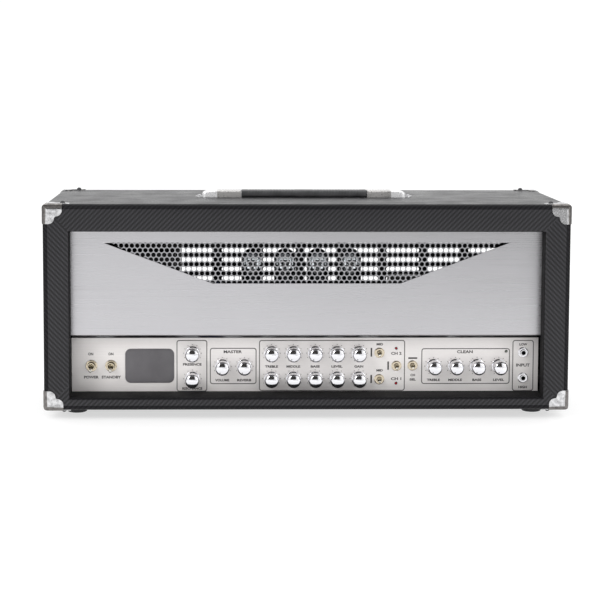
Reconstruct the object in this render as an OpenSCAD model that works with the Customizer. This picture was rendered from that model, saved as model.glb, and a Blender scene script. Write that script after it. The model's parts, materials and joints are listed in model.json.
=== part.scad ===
// Valve guitar amplifier head: covered cabinet, steel chassis, front controls.
// X is to the right, Y to the back, Z up. The origin is on the floor, under the middle.

/* [Cabinet] */
// Width of the cabinet over the side boards
cab_w = 750; // [748:1:760]
// Depth of the cabinet over the board edges
cab_d = 280; // [280:1:290]
// Height of the cabinet without its feet
cab_h = 295; // [293:1:298]
// Thickness of the boards
board = 18; // [17:0.5:18]
// Radius of the outer edges
edge_r = 7; // [6:0.5:8]
// Thickness of the front frame
frame_t = 26; // [24:1:27]
// Height of the top rail, with the top board's edge
rail_h = 39; // [37:1:40]
// Width of a side stile, with the side board's edge
stile_w = 37; // [35:1:37]
// Height of the feet
foot_h = 14; // [12:1:16]
// Radius of a foot where it meets the cabinet
foot_r = 16; // [14:1:18]
// Distance of a foot's centre from the cabinet's side
foot_inset_x = 42; // [40:1:46]
// Distance of a foot's centre from the cabinet's front or back
foot_inset_y = 65; // [62:1:72]

/* [Corner protectors] */
// Thickness of the corner steel
corner_t = 1.2; // [1:0.1:1.5]
// Length of the front and back flanges
corner_arm = 28; // [26:1:32]
// Length of the top, bottom and side flanges
corner_long_arm = 38; // [36:1:40]
// Width of the flanges
corner_band = 17; // [15:1:18]
// Screw's distance from the cabinet's side
corner_screw_x = 28; // [26:1:30]
// Screw's distance from the cabinet's front or back
corner_screw_y = 13; // [10:1:13]

/* [Handle] */
// Distance of a cap's inner end from the middle
cap_inner = 94; // [90:1:98]
// Distance of a cap's outer end from the middle
cap_outer = 151.5; // [150:0.5:154]
// Height of a cap
cap_h = 10; // [10:0.5:11]
// Width of a cap from front to back
cap_w = 30; // [29:1:32]
// Width of the grip from front to back
grip_w = 28; // [26:1:28]
// Length of the screw tongue on a cap
tongue_l = 10; // [9:1:12]

/* [Vent panel] */
// Height of the panel's lower edge above the floor
vent_bottom = 117; // [116:1:119]
// Height of the window's upper edge above the floor
window_top = 252; // [250:0.5:254]
// Height of the window's lower edge above the floor
window_bottom = 193; // [190:0.5:196]
// Half of the window's width at its upper edge
window_top_half = 292; // [285:1:296]
// Half of the window's width at its lower edge
window_bottom_half = 135; // [130:1:140]
// Distance between neighbouring grille holes
hole_pitch = 7.7; // [7.5:0.1:8]
// Radius of a grille hole
hole_r = 3.2; // [3:0.05:3.3]

/* [Control panel] */
// Distance of the panel's face behind the cabinet's front
panel_recess = 50; // [49:0.5:51]
// Half of the panel's width
panel_half = 339.5; // [338.5:0.5:340.5]
// Height of the panel
panel_h = 78.4; // [78:0.2:79.2]
// Thickness of the panel
panel_t = 2; // [1.8:0.1:2.2]
// Thickness of the chassis steel
chassis_t = 1.5; // [1.4:0.1:1.6]
// Height of the upper knob row above the floor
row_high = 87.8; // [87.3:0.1:88.3]
// Height of the single rows above the floor
row_mid = 68.6; // [68.1:0.1:69.1]
// Height of the lower knob row above the floor
row_low = 50.4; // [49.9:0.1:50.9]
// Distance between neighbouring knobs
knob_pitch = 31.8; // [31.2:0.1:32]

/* [Controls] */
// Radius of a knob's dome
knob_r = 10; // [9.8:0.1:10.2]
// Radius of a knob's lower rim
knob_rim_r = 10.7; // [10.5:0.1:10.9]
// Height of a knob's domed tip above the panel
knob_tip = 25; // [23:0.5:26]
// Radius of a control shaft
shaft_r = 3; // [3:0.01:3.02]
// Radius of a bushing's bore
bushing_bore_r = 3.08; // [3.07:0.01:3.1]
// Half of a toggle lever's swing, in degrees
toggle_tilt = 12; // [10:1:13]
// Radius of a quarter-inch jack's bore
jack_bore_r = 3.25; // [3.2:0.05:3.3]
// Depth of a quarter-inch jack's bore
jack_depth = 32; // [31:0.5:33]

/* [Rear cover] */
// Width of a vent slot
slot_w = 52; // [48:1:54]
// Height of a vent slot
slot_h = 7; // [6:0.5:8]
// Distance between slot columns
slot_pitch_x = 65; // [64:1:68]
// Distance between slot rows
slot_pitch_z = 15; // [14:0.5:15]
// Recess of the rear cover behind the cabinet's back edge
rear_recess = 12; // [11:0.5:13]

/* [Hidden] */
$fn = 48;
half_w = cab_w / 2;
half_d = cab_d / 2;
cab_bottom = foot_h;
cab_top = foot_h + cab_h;
floor_z = cab_bottom + board;
ceiling_z = cab_top - board;
side_in = half_w - board;
open_half = half_w - stile_w;
open_top = cab_top - rail_h;
frame_back = frame_t - half_d;
panel_face = panel_recess - half_d;
panel_back = panel_face + panel_t;
wall_back = panel_back + chassis_t;
front_wall = panel_t + chassis_t;
chassis_top = floor_z + panel_h;
rear_face = half_d - rear_recess;
rear_wall = rear_face - chassis_t;
sheet = 1.5;
grille_t = 1;
row_step = hole_pitch * sqrt(3) / 2;
foot_x = half_w - foot_inset_x;
foot_y = half_d - foot_inset_y;
screw_r = 1.9;
screw_hole_r = 2.1;
bushing_r = 3.5;
knob_lift = 0.8;
clear = 0.1;
shaft_in = 7;

// Bat toggles of two sizes: bushing, bore, bushing length, lever, body half-sizes and depth
TOGGLE_LARGE = [5.9, 4.2, 8, 22, 8, 13, 26];
TOGGLE_SMALL = [3.9, 2.9, 6, 12.5, 6.3, 6.3, 18];

// Each knob's node name and its place on the panel
lead_x = -49.6;
LEAD = ["treble", "middle", "bass", "level", "gain"];
CLEAN = ["treble", "middle", "bass", "level"];
clean_x = 186.7;
KNOBS = concat(
    [["knob_presence", -164.5, row_high], ["knob_resonance", -164.5, row_low]],
    [["knob_volume", -121, row_mid], ["knob_reverb", -89, row_mid]],
    [for (i = [0:4]) [str("knob_lead_two_", LEAD[i]), lead_x + i * knob_pitch, row_high]],
    [for (i = [0:4]) [str("knob_lead_one_", LEAD[i]), lead_x + i * knob_pitch, row_low]],
    [for (i = [0:3]) [str("knob_clean_", CLEAN[i]), clean_x + i * knob_pitch, row_mid]]
);
// Each toggle's node name, its place on the panel and its size
TOGGLES = [
    ["toggle_power", -311, 69.6, TOGGLE_LARGE],
    ["toggle_standby", -282.5, 69.6, TOGGLE_LARGE],
    ["toggle_voice_two", 107.5, 88.3, TOGGLE_SMALL],
    ["toggle_voice_one", 107.5, 49.4, TOGGLE_SMALL],
    ["toggle_lead_select", 132.5, 69.1, TOGGLE_SMALL],
    ["toggle_channel", 156, 69.6, TOGGLE_SMALL]
];
// Indicator lamps and the two input jacks on the front
LAMPS = [[132.6, 94.2], [132.6, 44], [292, 89.8]];
lamp_r = 1.6;
INPUTS = [[317.3, 88.8], [317.3, 51.4]];
// Jacks on the back: two for speakers, two for the loop, one for the footswitch
REAR_JACKS = [60, 95, 165, 200, 270];
rear_z = 70;
selector_x = 0;
inlet_x = -290;

// Parts that stand on the chassis
TUBES = [-77, -28, 21, 70];
tube_y = -5;
tube_r = 16.5;
tube_top = 238;
SMALL_TUBES = [120, 160, 200, 240, 280];
small_tube_y = -50;
CAPS = [-50, 5, 60];
caps_x = -138;
transformer_x = -235;
transformer_y = 15;

FIXED_NODES = [
    "cabinet_top_board", "cabinet_bottom_board", "cabinet_sides", "front_frame",
    "rear_cleats", "corner_protectors", "corner_screws", "rubber_feet", "fixing_screws",
    "handle_end_caps", "handle_strap", "vent_panel", "vent_grille", "control_panel",
    "blank_badge", "chassis", "jack_sockets", "mains_inlet", "selector_switch",
    "power_transformer", "output_transformer", "choke", "power_tubes", "tube_sockets",
    "preamp_tubes", "preamp_shields", "filter_capacitors", "circuit_board",
    "potentiometers", "toggle_bodies", "panel_nuts", "indicator_lamps", "reverb_tank",
    "rear_cover"
];
MOVING_NODES = ["handle_grip", "selector_knob"];

// ---- Shapes that several parts share ----

// Rectangle with true round corners, centred
module round_rect(w, h, r) {
    square([w - 2 * r, h], center = true);
    square([w, h - 2 * r], center = true);
    for (x = [-1, 1], y = [-1, 1])
        translate([x * (w / 2 - r), y * (h / 2 - r)]) circle(r);
}

// Block that runs from one corner to the other
module block(a, b) {
    translate(a) cube(b - a);
}

// Copies at the four places (+-x, +-y)
module four(x, y) {
    for (i = [-1, 1], j = [-1, 1]) translate([i * x, j * y, 0]) children();
}

// Turns a part drawn along +Z to look out of the front, at (x, face, z)
module on_front(x, z, face = panel_face) {
    translate([x, face, z]) rotate([90, 0, 0]) children();
}

// The same for the back: +Z becomes +Y
module on_back(x, z, face = rear_face) {
    translate([x, face, z]) rotate([-90, 0, 0]) children();
}

// Box with all its edges round, grown on every side
module cabinet_form(grow = 0) {
    w = cab_w + 2 * grow;
    d = cab_d + 2 * grow;
    h = cab_h + 2 * grow;
    r = edge_r + grow;
    translate([0, 0, cab_bottom + cab_h / 2]) intersection() {
        linear_extrude(h, center = true) round_rect(w, d, r);
        rotate([90, 0, 0]) linear_extrude(d, center = true) round_rect(w, h, r);
        rotate([90, 0, 90]) linear_extrude(w, center = true) round_rect(d, h, r);
    }
}

// Screw with a domed head: the head stands on z = 0 and the shank runs down
module dome_screw(head_r, head_h, shank_l, shank_r = screw_r) {
    ball = (head_r * head_r + head_h * head_h) / (2 * head_h);
    intersection() {
        translate([0, 0, head_h - ball]) sphere(ball);
        cylinder(h = head_h, r = head_r);
    }
    translate([0, 0, -shank_l]) cylinder(h = shank_l + 0.2, r = shank_r);
}

// ---- Cabinet ----

module cabinet_top_board() {
    color("#2e2e32") intersection() {
        cabinet_form();
        block([-half_w, -half_d, ceiling_z], [half_w, half_d, cab_top]);
    }
}

module cabinet_bottom_board() {
    color("#2e2e32") difference() {
        intersection() {
            cabinet_form();
            block([-half_w, -half_d, cab_bottom], [half_w, half_d, floor_z]);
        }
        four(chassis_bolt_x, chassis_bolt_y)
            translate([0, 0, cab_bottom - 1]) cylinder(h = board + 2, r = 2.75);
    }
}

module cabinet_sides() {
    color("#2e2e32") for (s = [-1, 1]) intersection() {
        cabinet_form();
        block([s > 0 ? side_in : -half_w, -half_d, floor_z],
              [s > 0 ? half_w : -side_in, half_d, ceiling_z]);
    }
}

module front_frame() {
    color("#2e2e32") difference() {
        block([-side_in, -half_d, floor_z], [side_in, frame_back, ceiling_z]);
        block([-open_half, -half_d - 1, floor_z - 1], [open_half, frame_back + 1, open_top]);
    }
}

cleat = 19;
cover_bottom = chassis_top + 3;
module rear_cleats() {
    color("#1e1c1b") for (s = [0, 1]) mirror([s, 0, 0]) {
        block([side_in - cleat, rear_face - cleat, cover_bottom], [side_in, rear_face, ceiling_z]);
        // the lower part fills the space beside the chassis
        block([panel_half + 0.5, rear_face - cleat, floor_z], [side_in, rear_face, cover_bottom]);
    }
}

// ---- Corner protectors ----

// L outline of a flange: two arms with round ends and a small fillet between them.
// The corner is at (0, 0) and the arms run along +X and +Y.
crotch_r = 3;
module flange_outline(arm_x, arm_y) {
    end_r = corner_band / 2;
    translate([-5, -5]) square([arm_x - end_r + 5, corner_band + 5]);
    translate([-5, -5]) square([corner_band + 5, arm_y - end_r + 5]);
    translate([arm_x - end_r, end_r]) circle(end_r);
    translate([arm_x - end_r, -5]) square([end_r, end_r + 5]);
    translate([end_r, arm_y - end_r]) circle(end_r);
    translate([-5, arm_y - end_r]) square([end_r + 5, end_r]);
    difference() {
        square(corner_band + crotch_r);
        translate([corner_band + crotch_r, corner_band + crotch_r]) circle(crotch_r);
    }
}

// One corner's three flanges as slabs, with its point at the origin, going to +X +Y +Z
module flange_slabs() {
    deep = edge_r + 1;
    // top flange, whose long arm stays behind the rounded edge
    translate([0, 0, -5]) linear_extrude(deep + 5) difference() {
        flange_outline(corner_long_arm, corner_arm);
        translate([corner_arm, -6]) square([corner_long_arm, 6 + edge_r]);
    }
    // front flange
    rotate([90, 0, 0]) mirror([0, 0, 1]) translate([0, 0, -5]) linear_extrude(deep + 5)
        flange_outline(corner_arm, corner_arm);
    // side flange
    rotate([90, 0, 90]) translate([0, 0, -5]) linear_extrude(deep + 5)
        flange_outline(corner_arm, corner_arm);
}

module one_corner() {
    intersection() {
        difference() {
            cabinet_form(corner_t);
            cabinet_form();
            translate([corner_screw_x - half_w, corner_screw_y - half_d, cab_bottom - 5])
                cylinder(h = 10, r = screw_hole_r);
        }
        translate([-half_w, -half_d, cab_bottom]) flange_slabs();
    }
}

module corner_protectors() {
    color("#d7d7da") for (x = [0, 1], y = [0, 1], z = [0, 1])
        translate([0, 0, z * (cab_top + cab_bottom)])
            mirror([x, 0, 0]) mirror([0, y, 0]) mirror([0, 0, z]) one_corner();
}

corner_head_r = 3.5;
module corner_screws() {
    color("#1a1a1c") four(half_w - corner_screw_x, half_d - corner_screw_y) {
        translate([0, 0, cab_top + corner_t]) dome_screw(corner_head_r, 3, 14);
        translate([0, 0, cab_bottom - corner_t]) mirror([0, 0, 1])
            dome_screw(corner_head_r, 3, 14);
    }
}

// ---- Feet and fasteners ----

foot_tip_r = foot_r - 2;
module rubber_feet() {
    color("#161617") four(foot_x, foot_y) difference() {
        cylinder(h = foot_h, r1 = foot_tip_r, r2 = foot_r);
        translate([0, 0, -1]) cylinder(h = foot_h / 2 + 1, r = 5);
        cylinder(h = foot_h + 1, r = screw_hole_r);
    }
}

chassis_bolt_x = 326;
chassis_bolt_y = 30;
COVER_SCREWS = [for (s = [-1, 1], z = [130, 200, 270]) [s * 346, z]];
VENT_SCREWS = [for (s = [-1, 1], z = [130, 200, 270]) [s * 345, z]];
module fixing_screws() {
    color("#9a9a9c") {
        // foot screws, up into the bottom board
        four(foot_x, foot_y) translate([0, 0, foot_h / 2]) mirror([0, 0, 1])
            dome_screw(4, 2.2, 20);
        // handle screws, down into the top board
        for (s = [-1, 1]) translate([s * (cap_outer + 5), 0, cab_top + sheet])
            dome_screw(3.5, 2, 14);
        // rear cover and vent panel screws
        for (p = COVER_SCREWS) on_back(p[0], p[1], rear_face + sheet) dome_screw(4, 2.2, 14);
        for (p = VENT_SCREWS) on_back(p[0], p[1], frame_back + sheet) dome_screw(4, 2.2, 14);
        // chassis bolts with their nuts
        four(chassis_bolt_x, chassis_bolt_y) translate([0, 0, cab_bottom]) {
            mirror([0, 0, 1]) dome_screw(5, 3, board + 6, 2.5);
            translate([0, 0, board + chassis_t]) cylinder(h = 4, r = 4.6, $fn = 6);
        }
    }
}

// ---- Handle ----

strap_z = cab_top + 4;
strap_t = 1.5;
strap_half = 122;
strap_half_w = 9;
slack = 0.3;
module handle_end_caps() {
    slope = 22;
    color("#dcdcdf") for (m = [0, 1]) mirror([m, 0, 0]) difference() {
        union() {
            translate([0, cap_w / 2, cab_top]) rotate([90, 0, 0]) linear_extrude(cap_w)
                polygon([
                    [cap_inner, 0], [cap_outer, 0], [cap_outer, cap_h - 4.5],
                    [cap_outer - 5, cap_h - 1.2], [cap_outer - slope, cap_h], [cap_inner, cap_h]
                ]);
            translate([cap_outer, 0, cab_top]) linear_extrude(sheet) {
                translate([-1, -7]) square([tongue_l - 6, 14]);
                translate([tongue_l - 7, 0]) circle(7);
            }
        }
        translate([cap_outer + 5, 0, cab_top - 1]) cylinder(h = 5, r = screw_hole_r);
        block([cap_inner - 1, -12, cab_top + 1.5], [128, 12, cab_top + cap_h - 1.5]);
    }
}

module handle_strap() {
    color("#8c8c90")
        block([-strap_half, -strap_half_w, strap_z], [strap_half, strap_half_w, strap_z + strap_t]);
}

grip_half = cap_inner - 1;
grip_h = 10;
module handle_grip() {
    color("#26262a") translate([0, 0, cab_top + slack]) difference() {
        translate([-grip_half, 0, grip_h / 2]) rotate([90, 0, 90])
            linear_extrude(2 * grip_half) round_rect(grip_w, grip_h, 4);
        block([-cap_outer, -strap_half_w - slack, strap_z - cab_top - 2 * slack],
              [cap_outer, strap_half_w + slack, strap_z - cab_top + strap_t]);
    }
}

// ---- Vent panel and grille ----

vent_half = side_in - 5;
vent_top = ceiling_z - 4;
module window_outline(grow = 0) {
    polygon([
        [-window_top_half - grow, window_top + grow],
        [window_top_half + grow, window_top + grow],
        [window_bottom_half + grow, window_bottom - grow],
        [-window_bottom_half - grow, window_bottom - grow]
    ]);
}

lip_r = 3;
lip_depth = 10;
module vent_panel() {
    color("#c6c5ca") difference() {
        union() {
            block([-vent_half, frame_back, vent_bottom + lip_r],
                  [vent_half, frame_back + sheet, vent_top]);
            // rounded fold at the lower edge
            intersection() {
                translate([-vent_half, frame_back + lip_r, vent_bottom + lip_r])
                    rotate([0, 90, 0]) difference() {
                        cylinder(h = 2 * vent_half, r = lip_r);
                        translate([0, 0, -1]) cylinder(h = 2 * vent_half + 2, r = lip_r - sheet);
                    }
                block([-vent_half, frame_back, vent_bottom],
                      [vent_half, frame_back + lip_r, vent_bottom + lip_r]);
            }
            block([-vent_half, frame_back + lip_r, vent_bottom],
                  [vent_half, frame_back + lip_depth, vent_bottom + sheet]);
        }
        translate([0, frame_back + 5, 0]) rotate([90, 0, 0]) linear_extrude(10)
            window_outline();
        for (p = VENT_SCREWS) on_back(p[0], p[1], frame_back - 1)
            cylinder(h = 5, r = screw_hole_r);
    }
}

// Half-width of the window at height z
function window_half(z) = window_bottom_half
    + (window_top_half - window_bottom_half) * (z - window_bottom) / (window_top - window_bottom);

grille_margin = 16;
grille_rows = 11;
first_row = window_top - 4.5 + row_step;
module vent_grille() {
    color("#a9a8ad")
    translate([0, frame_back + sheet + grille_t, 0]) rotate([90, 0, 0])
    linear_extrude(grille_t) difference() {
        window_outline(grille_margin);
        for (row = [0:grille_rows - 1]) {
            z = first_row - row * row_step;
            shift = (row % 2) * hole_pitch / 2;
            reach = window_half(min(max(z, window_bottom), window_top)) + hole_pitch;
            count = floor((reach - shift) / hole_pitch);
            for (i = [-count - row % 2:count])
                translate([shift + i * hole_pitch, z]) circle(hole_r, $fn = 24);
        }
    }
}

// ---- Chassis and control panel ----

// Every hole through the front, as cylinders along Y
module front_holes() {
    for (k = KNOBS) on_front(k[1], k[2]) translate([0, 0, -10]) cylinder(h = 20, r = bushing_r + 0.2);
    for (t = TOGGLES) on_front(t[1], t[2]) translate([0, 0, -10]) cylinder(h = 20, r = t[3][0] + 0.2);
    for (l = LAMPS) on_front(l[0], l[1]) translate([0, 0, -10]) cylinder(h = 20, r = lamp_r + clear);
    for (j = INPUTS) on_front(j[0], j[1]) translate([0, 0, -10]) cylinder(h = 20, r = jack_bush_r + 0.2);
}

module control_panel() {
    color("#d8d2ce") difference() {
        block([-panel_half, panel_face, floor_z], [panel_half, panel_back, chassis_top]);
        front_holes();
    }
}

badge_w = 71;
badge_h = 50;
badge_x = -226.5;
badge_z = 69.6;
module blank_badge() {
    color("#646264") on_front(badge_x, badge_z) linear_extrude(1.2)
        round_rect(badge_w, badge_h, 8);
}

socket_hole_r = 14.2;
small_socket_hole_r = 10.2;
selector_hole_r = 5;
inlet_w = 28;
inlet_h = 34;
// Holes through the top, the back and the foot flanges, for all the sheets
module chassis_holes() {
    front_holes();
    for (x = TUBES) translate([x, tube_y, chassis_top - 5]) cylinder(h = 10, r = socket_hole_r);
    for (x = SMALL_TUBES) translate([x, small_tube_y, chassis_top - 5])
        cylinder(h = 10, r = small_socket_hole_r);
    for (x = REAR_JACKS) on_back(x, rear_z) translate([0, 0, -5])
        cylinder(h = 10, r = jack_bush_r + 0.2);
    on_back(selector_x, rear_z) translate([0, 0, -5]) cylinder(h = 10, r = selector_hole_r);
    four(chassis_bolt_x, chassis_bolt_y) cylinder(h = 60, r = 2.75);
}

// Box of spot-welded sheets with fine seams: top, front, back, ends and foot flanges
foot_flange = 24;
seam = 0.2;
module chassis() {
    in_x = panel_half - chassis_t;
    sheet_top = chassis_top - chassis_t;
    wall_top = sheet_top - seam;
    wall_x = in_x - seam;
    // the back is cut into strips round the mains inlet
    inlet_low = rear_z - inlet_h / 2 - clear;
    inlet_high = rear_z + inlet_h / 2 + clear;
    inlet_left = inlet_x - inlet_w / 2 - clear;
    inlet_right = inlet_x + inlet_w / 2 + clear;
    color("#a7a8ab") {
        difference() {
            block([-panel_half, panel_back, sheet_top], [panel_half, rear_face, chassis_top]);
            chassis_holes();
        }
        difference() {
            block([-wall_x, panel_back, floor_z], [wall_x, wall_back, wall_top]);
            chassis_holes();
        }
        difference() {
            block([inlet_right + seam, rear_wall, floor_z], [wall_x, rear_face, wall_top]);
            chassis_holes();
        }
        block([-wall_x, rear_wall, floor_z], [inlet_left - seam, rear_face, wall_top]);
        block([inlet_left, rear_wall, floor_z], [inlet_right, rear_face, inlet_low]);
        block([inlet_left, rear_wall, inlet_high], [inlet_right, rear_face, wall_top]);
        for (s = [0, 1]) mirror([s, 0, 0]) {
            block([in_x, panel_back, floor_z], [panel_half, rear_face, wall_top]);
            difference() {
                block([panel_half - foot_flange, wall_back + seam, floor_z],
                      [wall_x, rear_wall - seam, floor_z + chassis_t]);
                chassis_holes();
            }
        }
    }
}

// ---- Panel hardware ----

jack_bush_r = 4.75;
jack_bush_l = 5.5;
// Quarter-inch jack: outer face of its wall at z = 0, mouth towards +Z
module jack(wall) {
    difference() {
        union() {
            translate([-8, -10, -wall - 28.5]) cube([16, 20, 28.5]);
            translate([0, 0, -wall - 1]) cylinder(h = wall + 1 + jack_bush_l, r = jack_bush_r);
        }
        translate([0, 0, jack_bush_l - jack_depth]) cylinder(h = jack_depth + 1, r = jack_bore_r);
    }
}

module jack_sockets() {
    color("#1f1f21") {
        for (j = INPUTS) on_front(j[0], j[1]) jack(front_wall);
        for (x = REAR_JACKS) on_back(x, rear_z) jack(chassis_t);
    }
}

// Potentiometer: outer face of the panel at z = 0, shaft towards +Z
pot_r = 8.5;
pot_h = 12;
pot_bush_l = 6;
module pot() {
    difference() {
        union() {
            translate([0, 0, -front_wall - pot_h]) cylinder(h = pot_h, r = pot_r);
            translate([0, 0, -front_wall - 1]) cylinder(h = front_wall + 1 + pot_bush_l, r = bushing_r);
            // terminals
            for (x = [-5, 0, 5]) translate([x - 1, -pot_r - 4, -front_wall - 4]) cube([2, 6, 0.8]);
        }
        translate([0, 0, -front_wall - shaft_in - 0.5])
            cylinder(h = front_wall + shaft_in + pot_bush_l + 1, r = bushing_bore_r);
    }
}

module potentiometers() {
    color("#8d8a84") for (k = KNOBS) on_front(k[1], k[2]) pot();
}

// Toggle body and its bushing; t is one of the two size lists
module toggle_body(t) {
    difference() {
        union() {
            translate([-t[4], -t[5], -front_wall - t[6]]) cube([2 * t[4], 2 * t[5], t[6]]);
            translate([0, 0, -front_wall - 1]) cylinder(h = front_wall + 1 + t[2], r = t[0]);
        }
        translate([0, 0, -t[1] - 0.2]) cylinder(h = t[2] + t[1] + 1, r = t[1]);
    }
}

module toggle_bodies() {
    color("#b9a98c") for (t = TOGGLES) on_front(t[1], t[2]) toggle_body(t[3]);
}

// Hexagon nut with its washer, standing on z = 0
module nut(flat_r, bore, h, washer_r) {
    difference() {
        union() {
            cylinder(h = 0.6, r = washer_r);
            translate([0, 0, 0.6]) cylinder(h = h, r = flat_r, $fn = 6);
        }
        translate([0, 0, -1]) cylinder(h = h + 3, r = bore);
    }
}

module panel_nuts() {
    color("#bdb7ab") {
        for (k = KNOBS) on_front(k[1], k[2]) nut(5.8, bushing_r + 0.05, 2, 6.2);
        for (t = TOGGLES) on_front(t[1], t[2])
            nut(t[3][0] + 2.2, t[3][0] + 0.05, 2, t[3][0] + 2.5);
        for (j = INPUTS) on_front(j[0], j[1]) nut(7.2, jack_bush_r + 0.05, 2.4, 7.4);
        for (x = REAR_JACKS) on_back(x, rear_z) nut(7.2, jack_bush_r + 0.05, 2.4, 7.4);
        on_back(selector_x, rear_z) nut(7, selector_hole_r + 0.1, 2.4, 7.6);
    }
}

module indicator_lamps() {
    color("#a3202a") for (l = LAMPS) on_front(l[0], l[1]) {
        translate([0, 0, -8]) cylinder(h = 8.6, r = lamp_r);
        translate([0, 0, 0.6]) sphere(lamp_r);
        translate([0, 0, -front_wall - 4.5]) cylinder(h = 4.5, r = 2.3);
    }
}

// ---- Knobs and levers ----

// Domed knob with a dimple for its pointer, and the shaft that it is pressed on
pointer_angle = 240;
pointer_reach = 6.6;
knob_dome_r = 22;
module knob(x, z) {
    dome_z = knob_tip - knob_dome_r;
    bore_top = knob_tip - 10;
    pointer_z = dome_z + sqrt(knob_dome_r * knob_dome_r - pointer_reach * pointer_reach);
    color("#e2e2e6") on_front(x, z) {
        difference() {
            union() {
                translate([0, 0, knob_lift]) cylinder(h = 1.5, r = knob_rim_r);
                translate([0, 0, knob_lift]) cylinder(h = dome_z - knob_lift, r = knob_r);
                intersection() {
                    translate([0, 0, dome_z]) cylinder(h = knob_dome_r, r = knob_r);
                    translate([0, 0, dome_z]) sphere(knob_dome_r);
                }
            }
            cylinder(h = 7, r = 7);
            cylinder(h = bore_top, r = shaft_r);
            rotate([0, 0, pointer_angle]) translate([pointer_reach, 0, pointer_z - 0.6])
                cylinder(h = knob_r, r = 0.9);
        }
        translate([0, 0, -front_wall - shaft_in]) cylinder(h = bore_top + front_wall + shaft_in, r = shaft_r);
    }
}

// Bat lever at rest, tilted down; its ball turns in the bushing's bore
module lever(x, z, t) {
    ball_r = t[1] - clear;
    neck_r = t[1] * 0.38;
    tip_r = t[1] * 0.62;
    color("#cfc8ba") on_front(x, z) rotate([toggle_tilt, 0, 0]) {
        sphere(ball_r);
        cylinder(h = t[3] - tip_r, r1 = neck_r, r2 = tip_r);
        translate([0, 0, t[3] - tip_r]) sphere(tip_r);
    }
}

// ---- Back panel hardware ----

socket_depth = 18;
pin_l = 12;
module mains_inlet() {
    color("#19191a") on_back(inlet_x, rear_z) {
        difference() {
            union() {
                linear_extrude(2.5) round_rect(50, 40, 4);
                translate([-inlet_w / 2, -inlet_h / 2, -26]) cube([inlet_w, inlet_h, 26.1]);
            }
            // mouth for the plug, and the fuse drawer's seat under it
            translate([-12, -3, 2.5 - socket_depth]) cube([24, 17, socket_depth + 1]);
            translate([-11, -14.5, -12]) cube([22, 8.5, 20]);
        }
        // fuse drawer with its pull
        translate([-10.8, -14.3, -11.8]) cube([21.6, 8.1, 14]);
        translate([-4, -12.5, 2]) cube([8, 4, 2]);
        // earth, live and neutral pins
        for (p = [[0, 8], [-7, 3], [7, 3]]) translate([p[0] - 1, p[1] - 2, 2.5 - socket_depth])
            cube([2, 4, pin_l]);
    }
}

module selector_switch() {
    color("#7d7a74") on_back(selector_x, rear_z) difference() {
        union() {
            translate([0, 0, -chassis_t - 14]) cylinder(h = 14, r = 14);
            translate([0, 0, -chassis_t - 1]) cylinder(h = chassis_t + 4.4, r = selector_hole_r - 0.1);
        }
        translate([0, 0, -chassis_t - 10]) cylinder(h = 30, r = bushing_bore_r);
    }
}

selector_knob_h = 10;
selector_pointer_h = 11.5;
selector_knob_lift = 3.8;
module selector_knob() {
    color("#1c1c1e") on_back(selector_x, rear_z) {
        difference() {
            union() {
                translate([0, 0, selector_knob_lift])
                    cylinder(h = selector_knob_h - selector_knob_lift, r = 11);
                translate([0, 0, selector_knob_lift]) intersection() {
                    cylinder(h = selector_pointer_h - selector_knob_lift, r = 11);
                    translate([-2.5, -12, 0]) cube([5, 24, 11]);
                }
            }
            cylinder(h = selector_knob_h, r = shaft_r);
        }
        translate([0, 0, -chassis_t - 9]) cylinder(h = selector_knob_h + chassis_t + 9, r = shaft_r);
    }
}

slot_columns = 10;
slot_rows = 8;
slot_first_z = 139;
module rear_cover() {
    color("#4a4a4d") translate([0, rear_face + sheet, 0]) rotate([90, 0, 0])
    linear_extrude(sheet) difference() {
        translate([1.5 - side_in, cover_bottom])
            square([2 * side_in - 3, ceiling_z - 2 - cover_bottom]);
        for (c = [0:slot_columns - 1], r = [0:slot_rows - 1])
            translate([(c - (slot_columns - 1) / 2) * slot_pitch_x, slot_first_z + r * slot_pitch_z])
                round_rect(slot_w, slot_h, slot_h / 2 - 0.1);
        for (p = COVER_SCREWS) translate(p) circle(screw_hole_r);
    }
}

// ---- Parts on the chassis ----

// Laminated core with two end bells; it stands on the chassis
module transformer(w, h, core_t, bell_w, bell_h, bell_t) {
    foot = 3;
    translate([-w / 2, -core_t / 2, 0]) cube([w, core_t, h]);
    for (m = [0, 1]) mirror([0, m, 0]) {
        translate([0, -core_t / 2, h / 2 + foot / 2]) rotate([90, 0, 0]) difference() {
            linear_extrude(bell_t) round_rect(bell_w, bell_h, 8);
            translate([0, 0, -1]) linear_extrude(bell_t + 1 - sheet)
                round_rect(bell_w - 2 * sheet, bell_h - 2 * sheet, 8 - sheet);
        }
        translate([-w / 2, -core_t / 2 - 8, 0]) cube([w, 8.1, foot]);
    }
}

module power_transformer() {
    color("#3a3a3c") translate([transformer_x, transformer_y, chassis_top])
        transformer(103, 130, 46, 88, 112, 28);
}

module output_transformer() {
    color("#3a3a3c") translate([175, 45, chassis_top]) transformer(86, 74, 40, 72, 58, 20);
}

module choke() {
    color("#3a3a3c") translate([268, 50, chassis_top]) transformer(60, 48, 26, 46, 34, 12);
}

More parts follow.
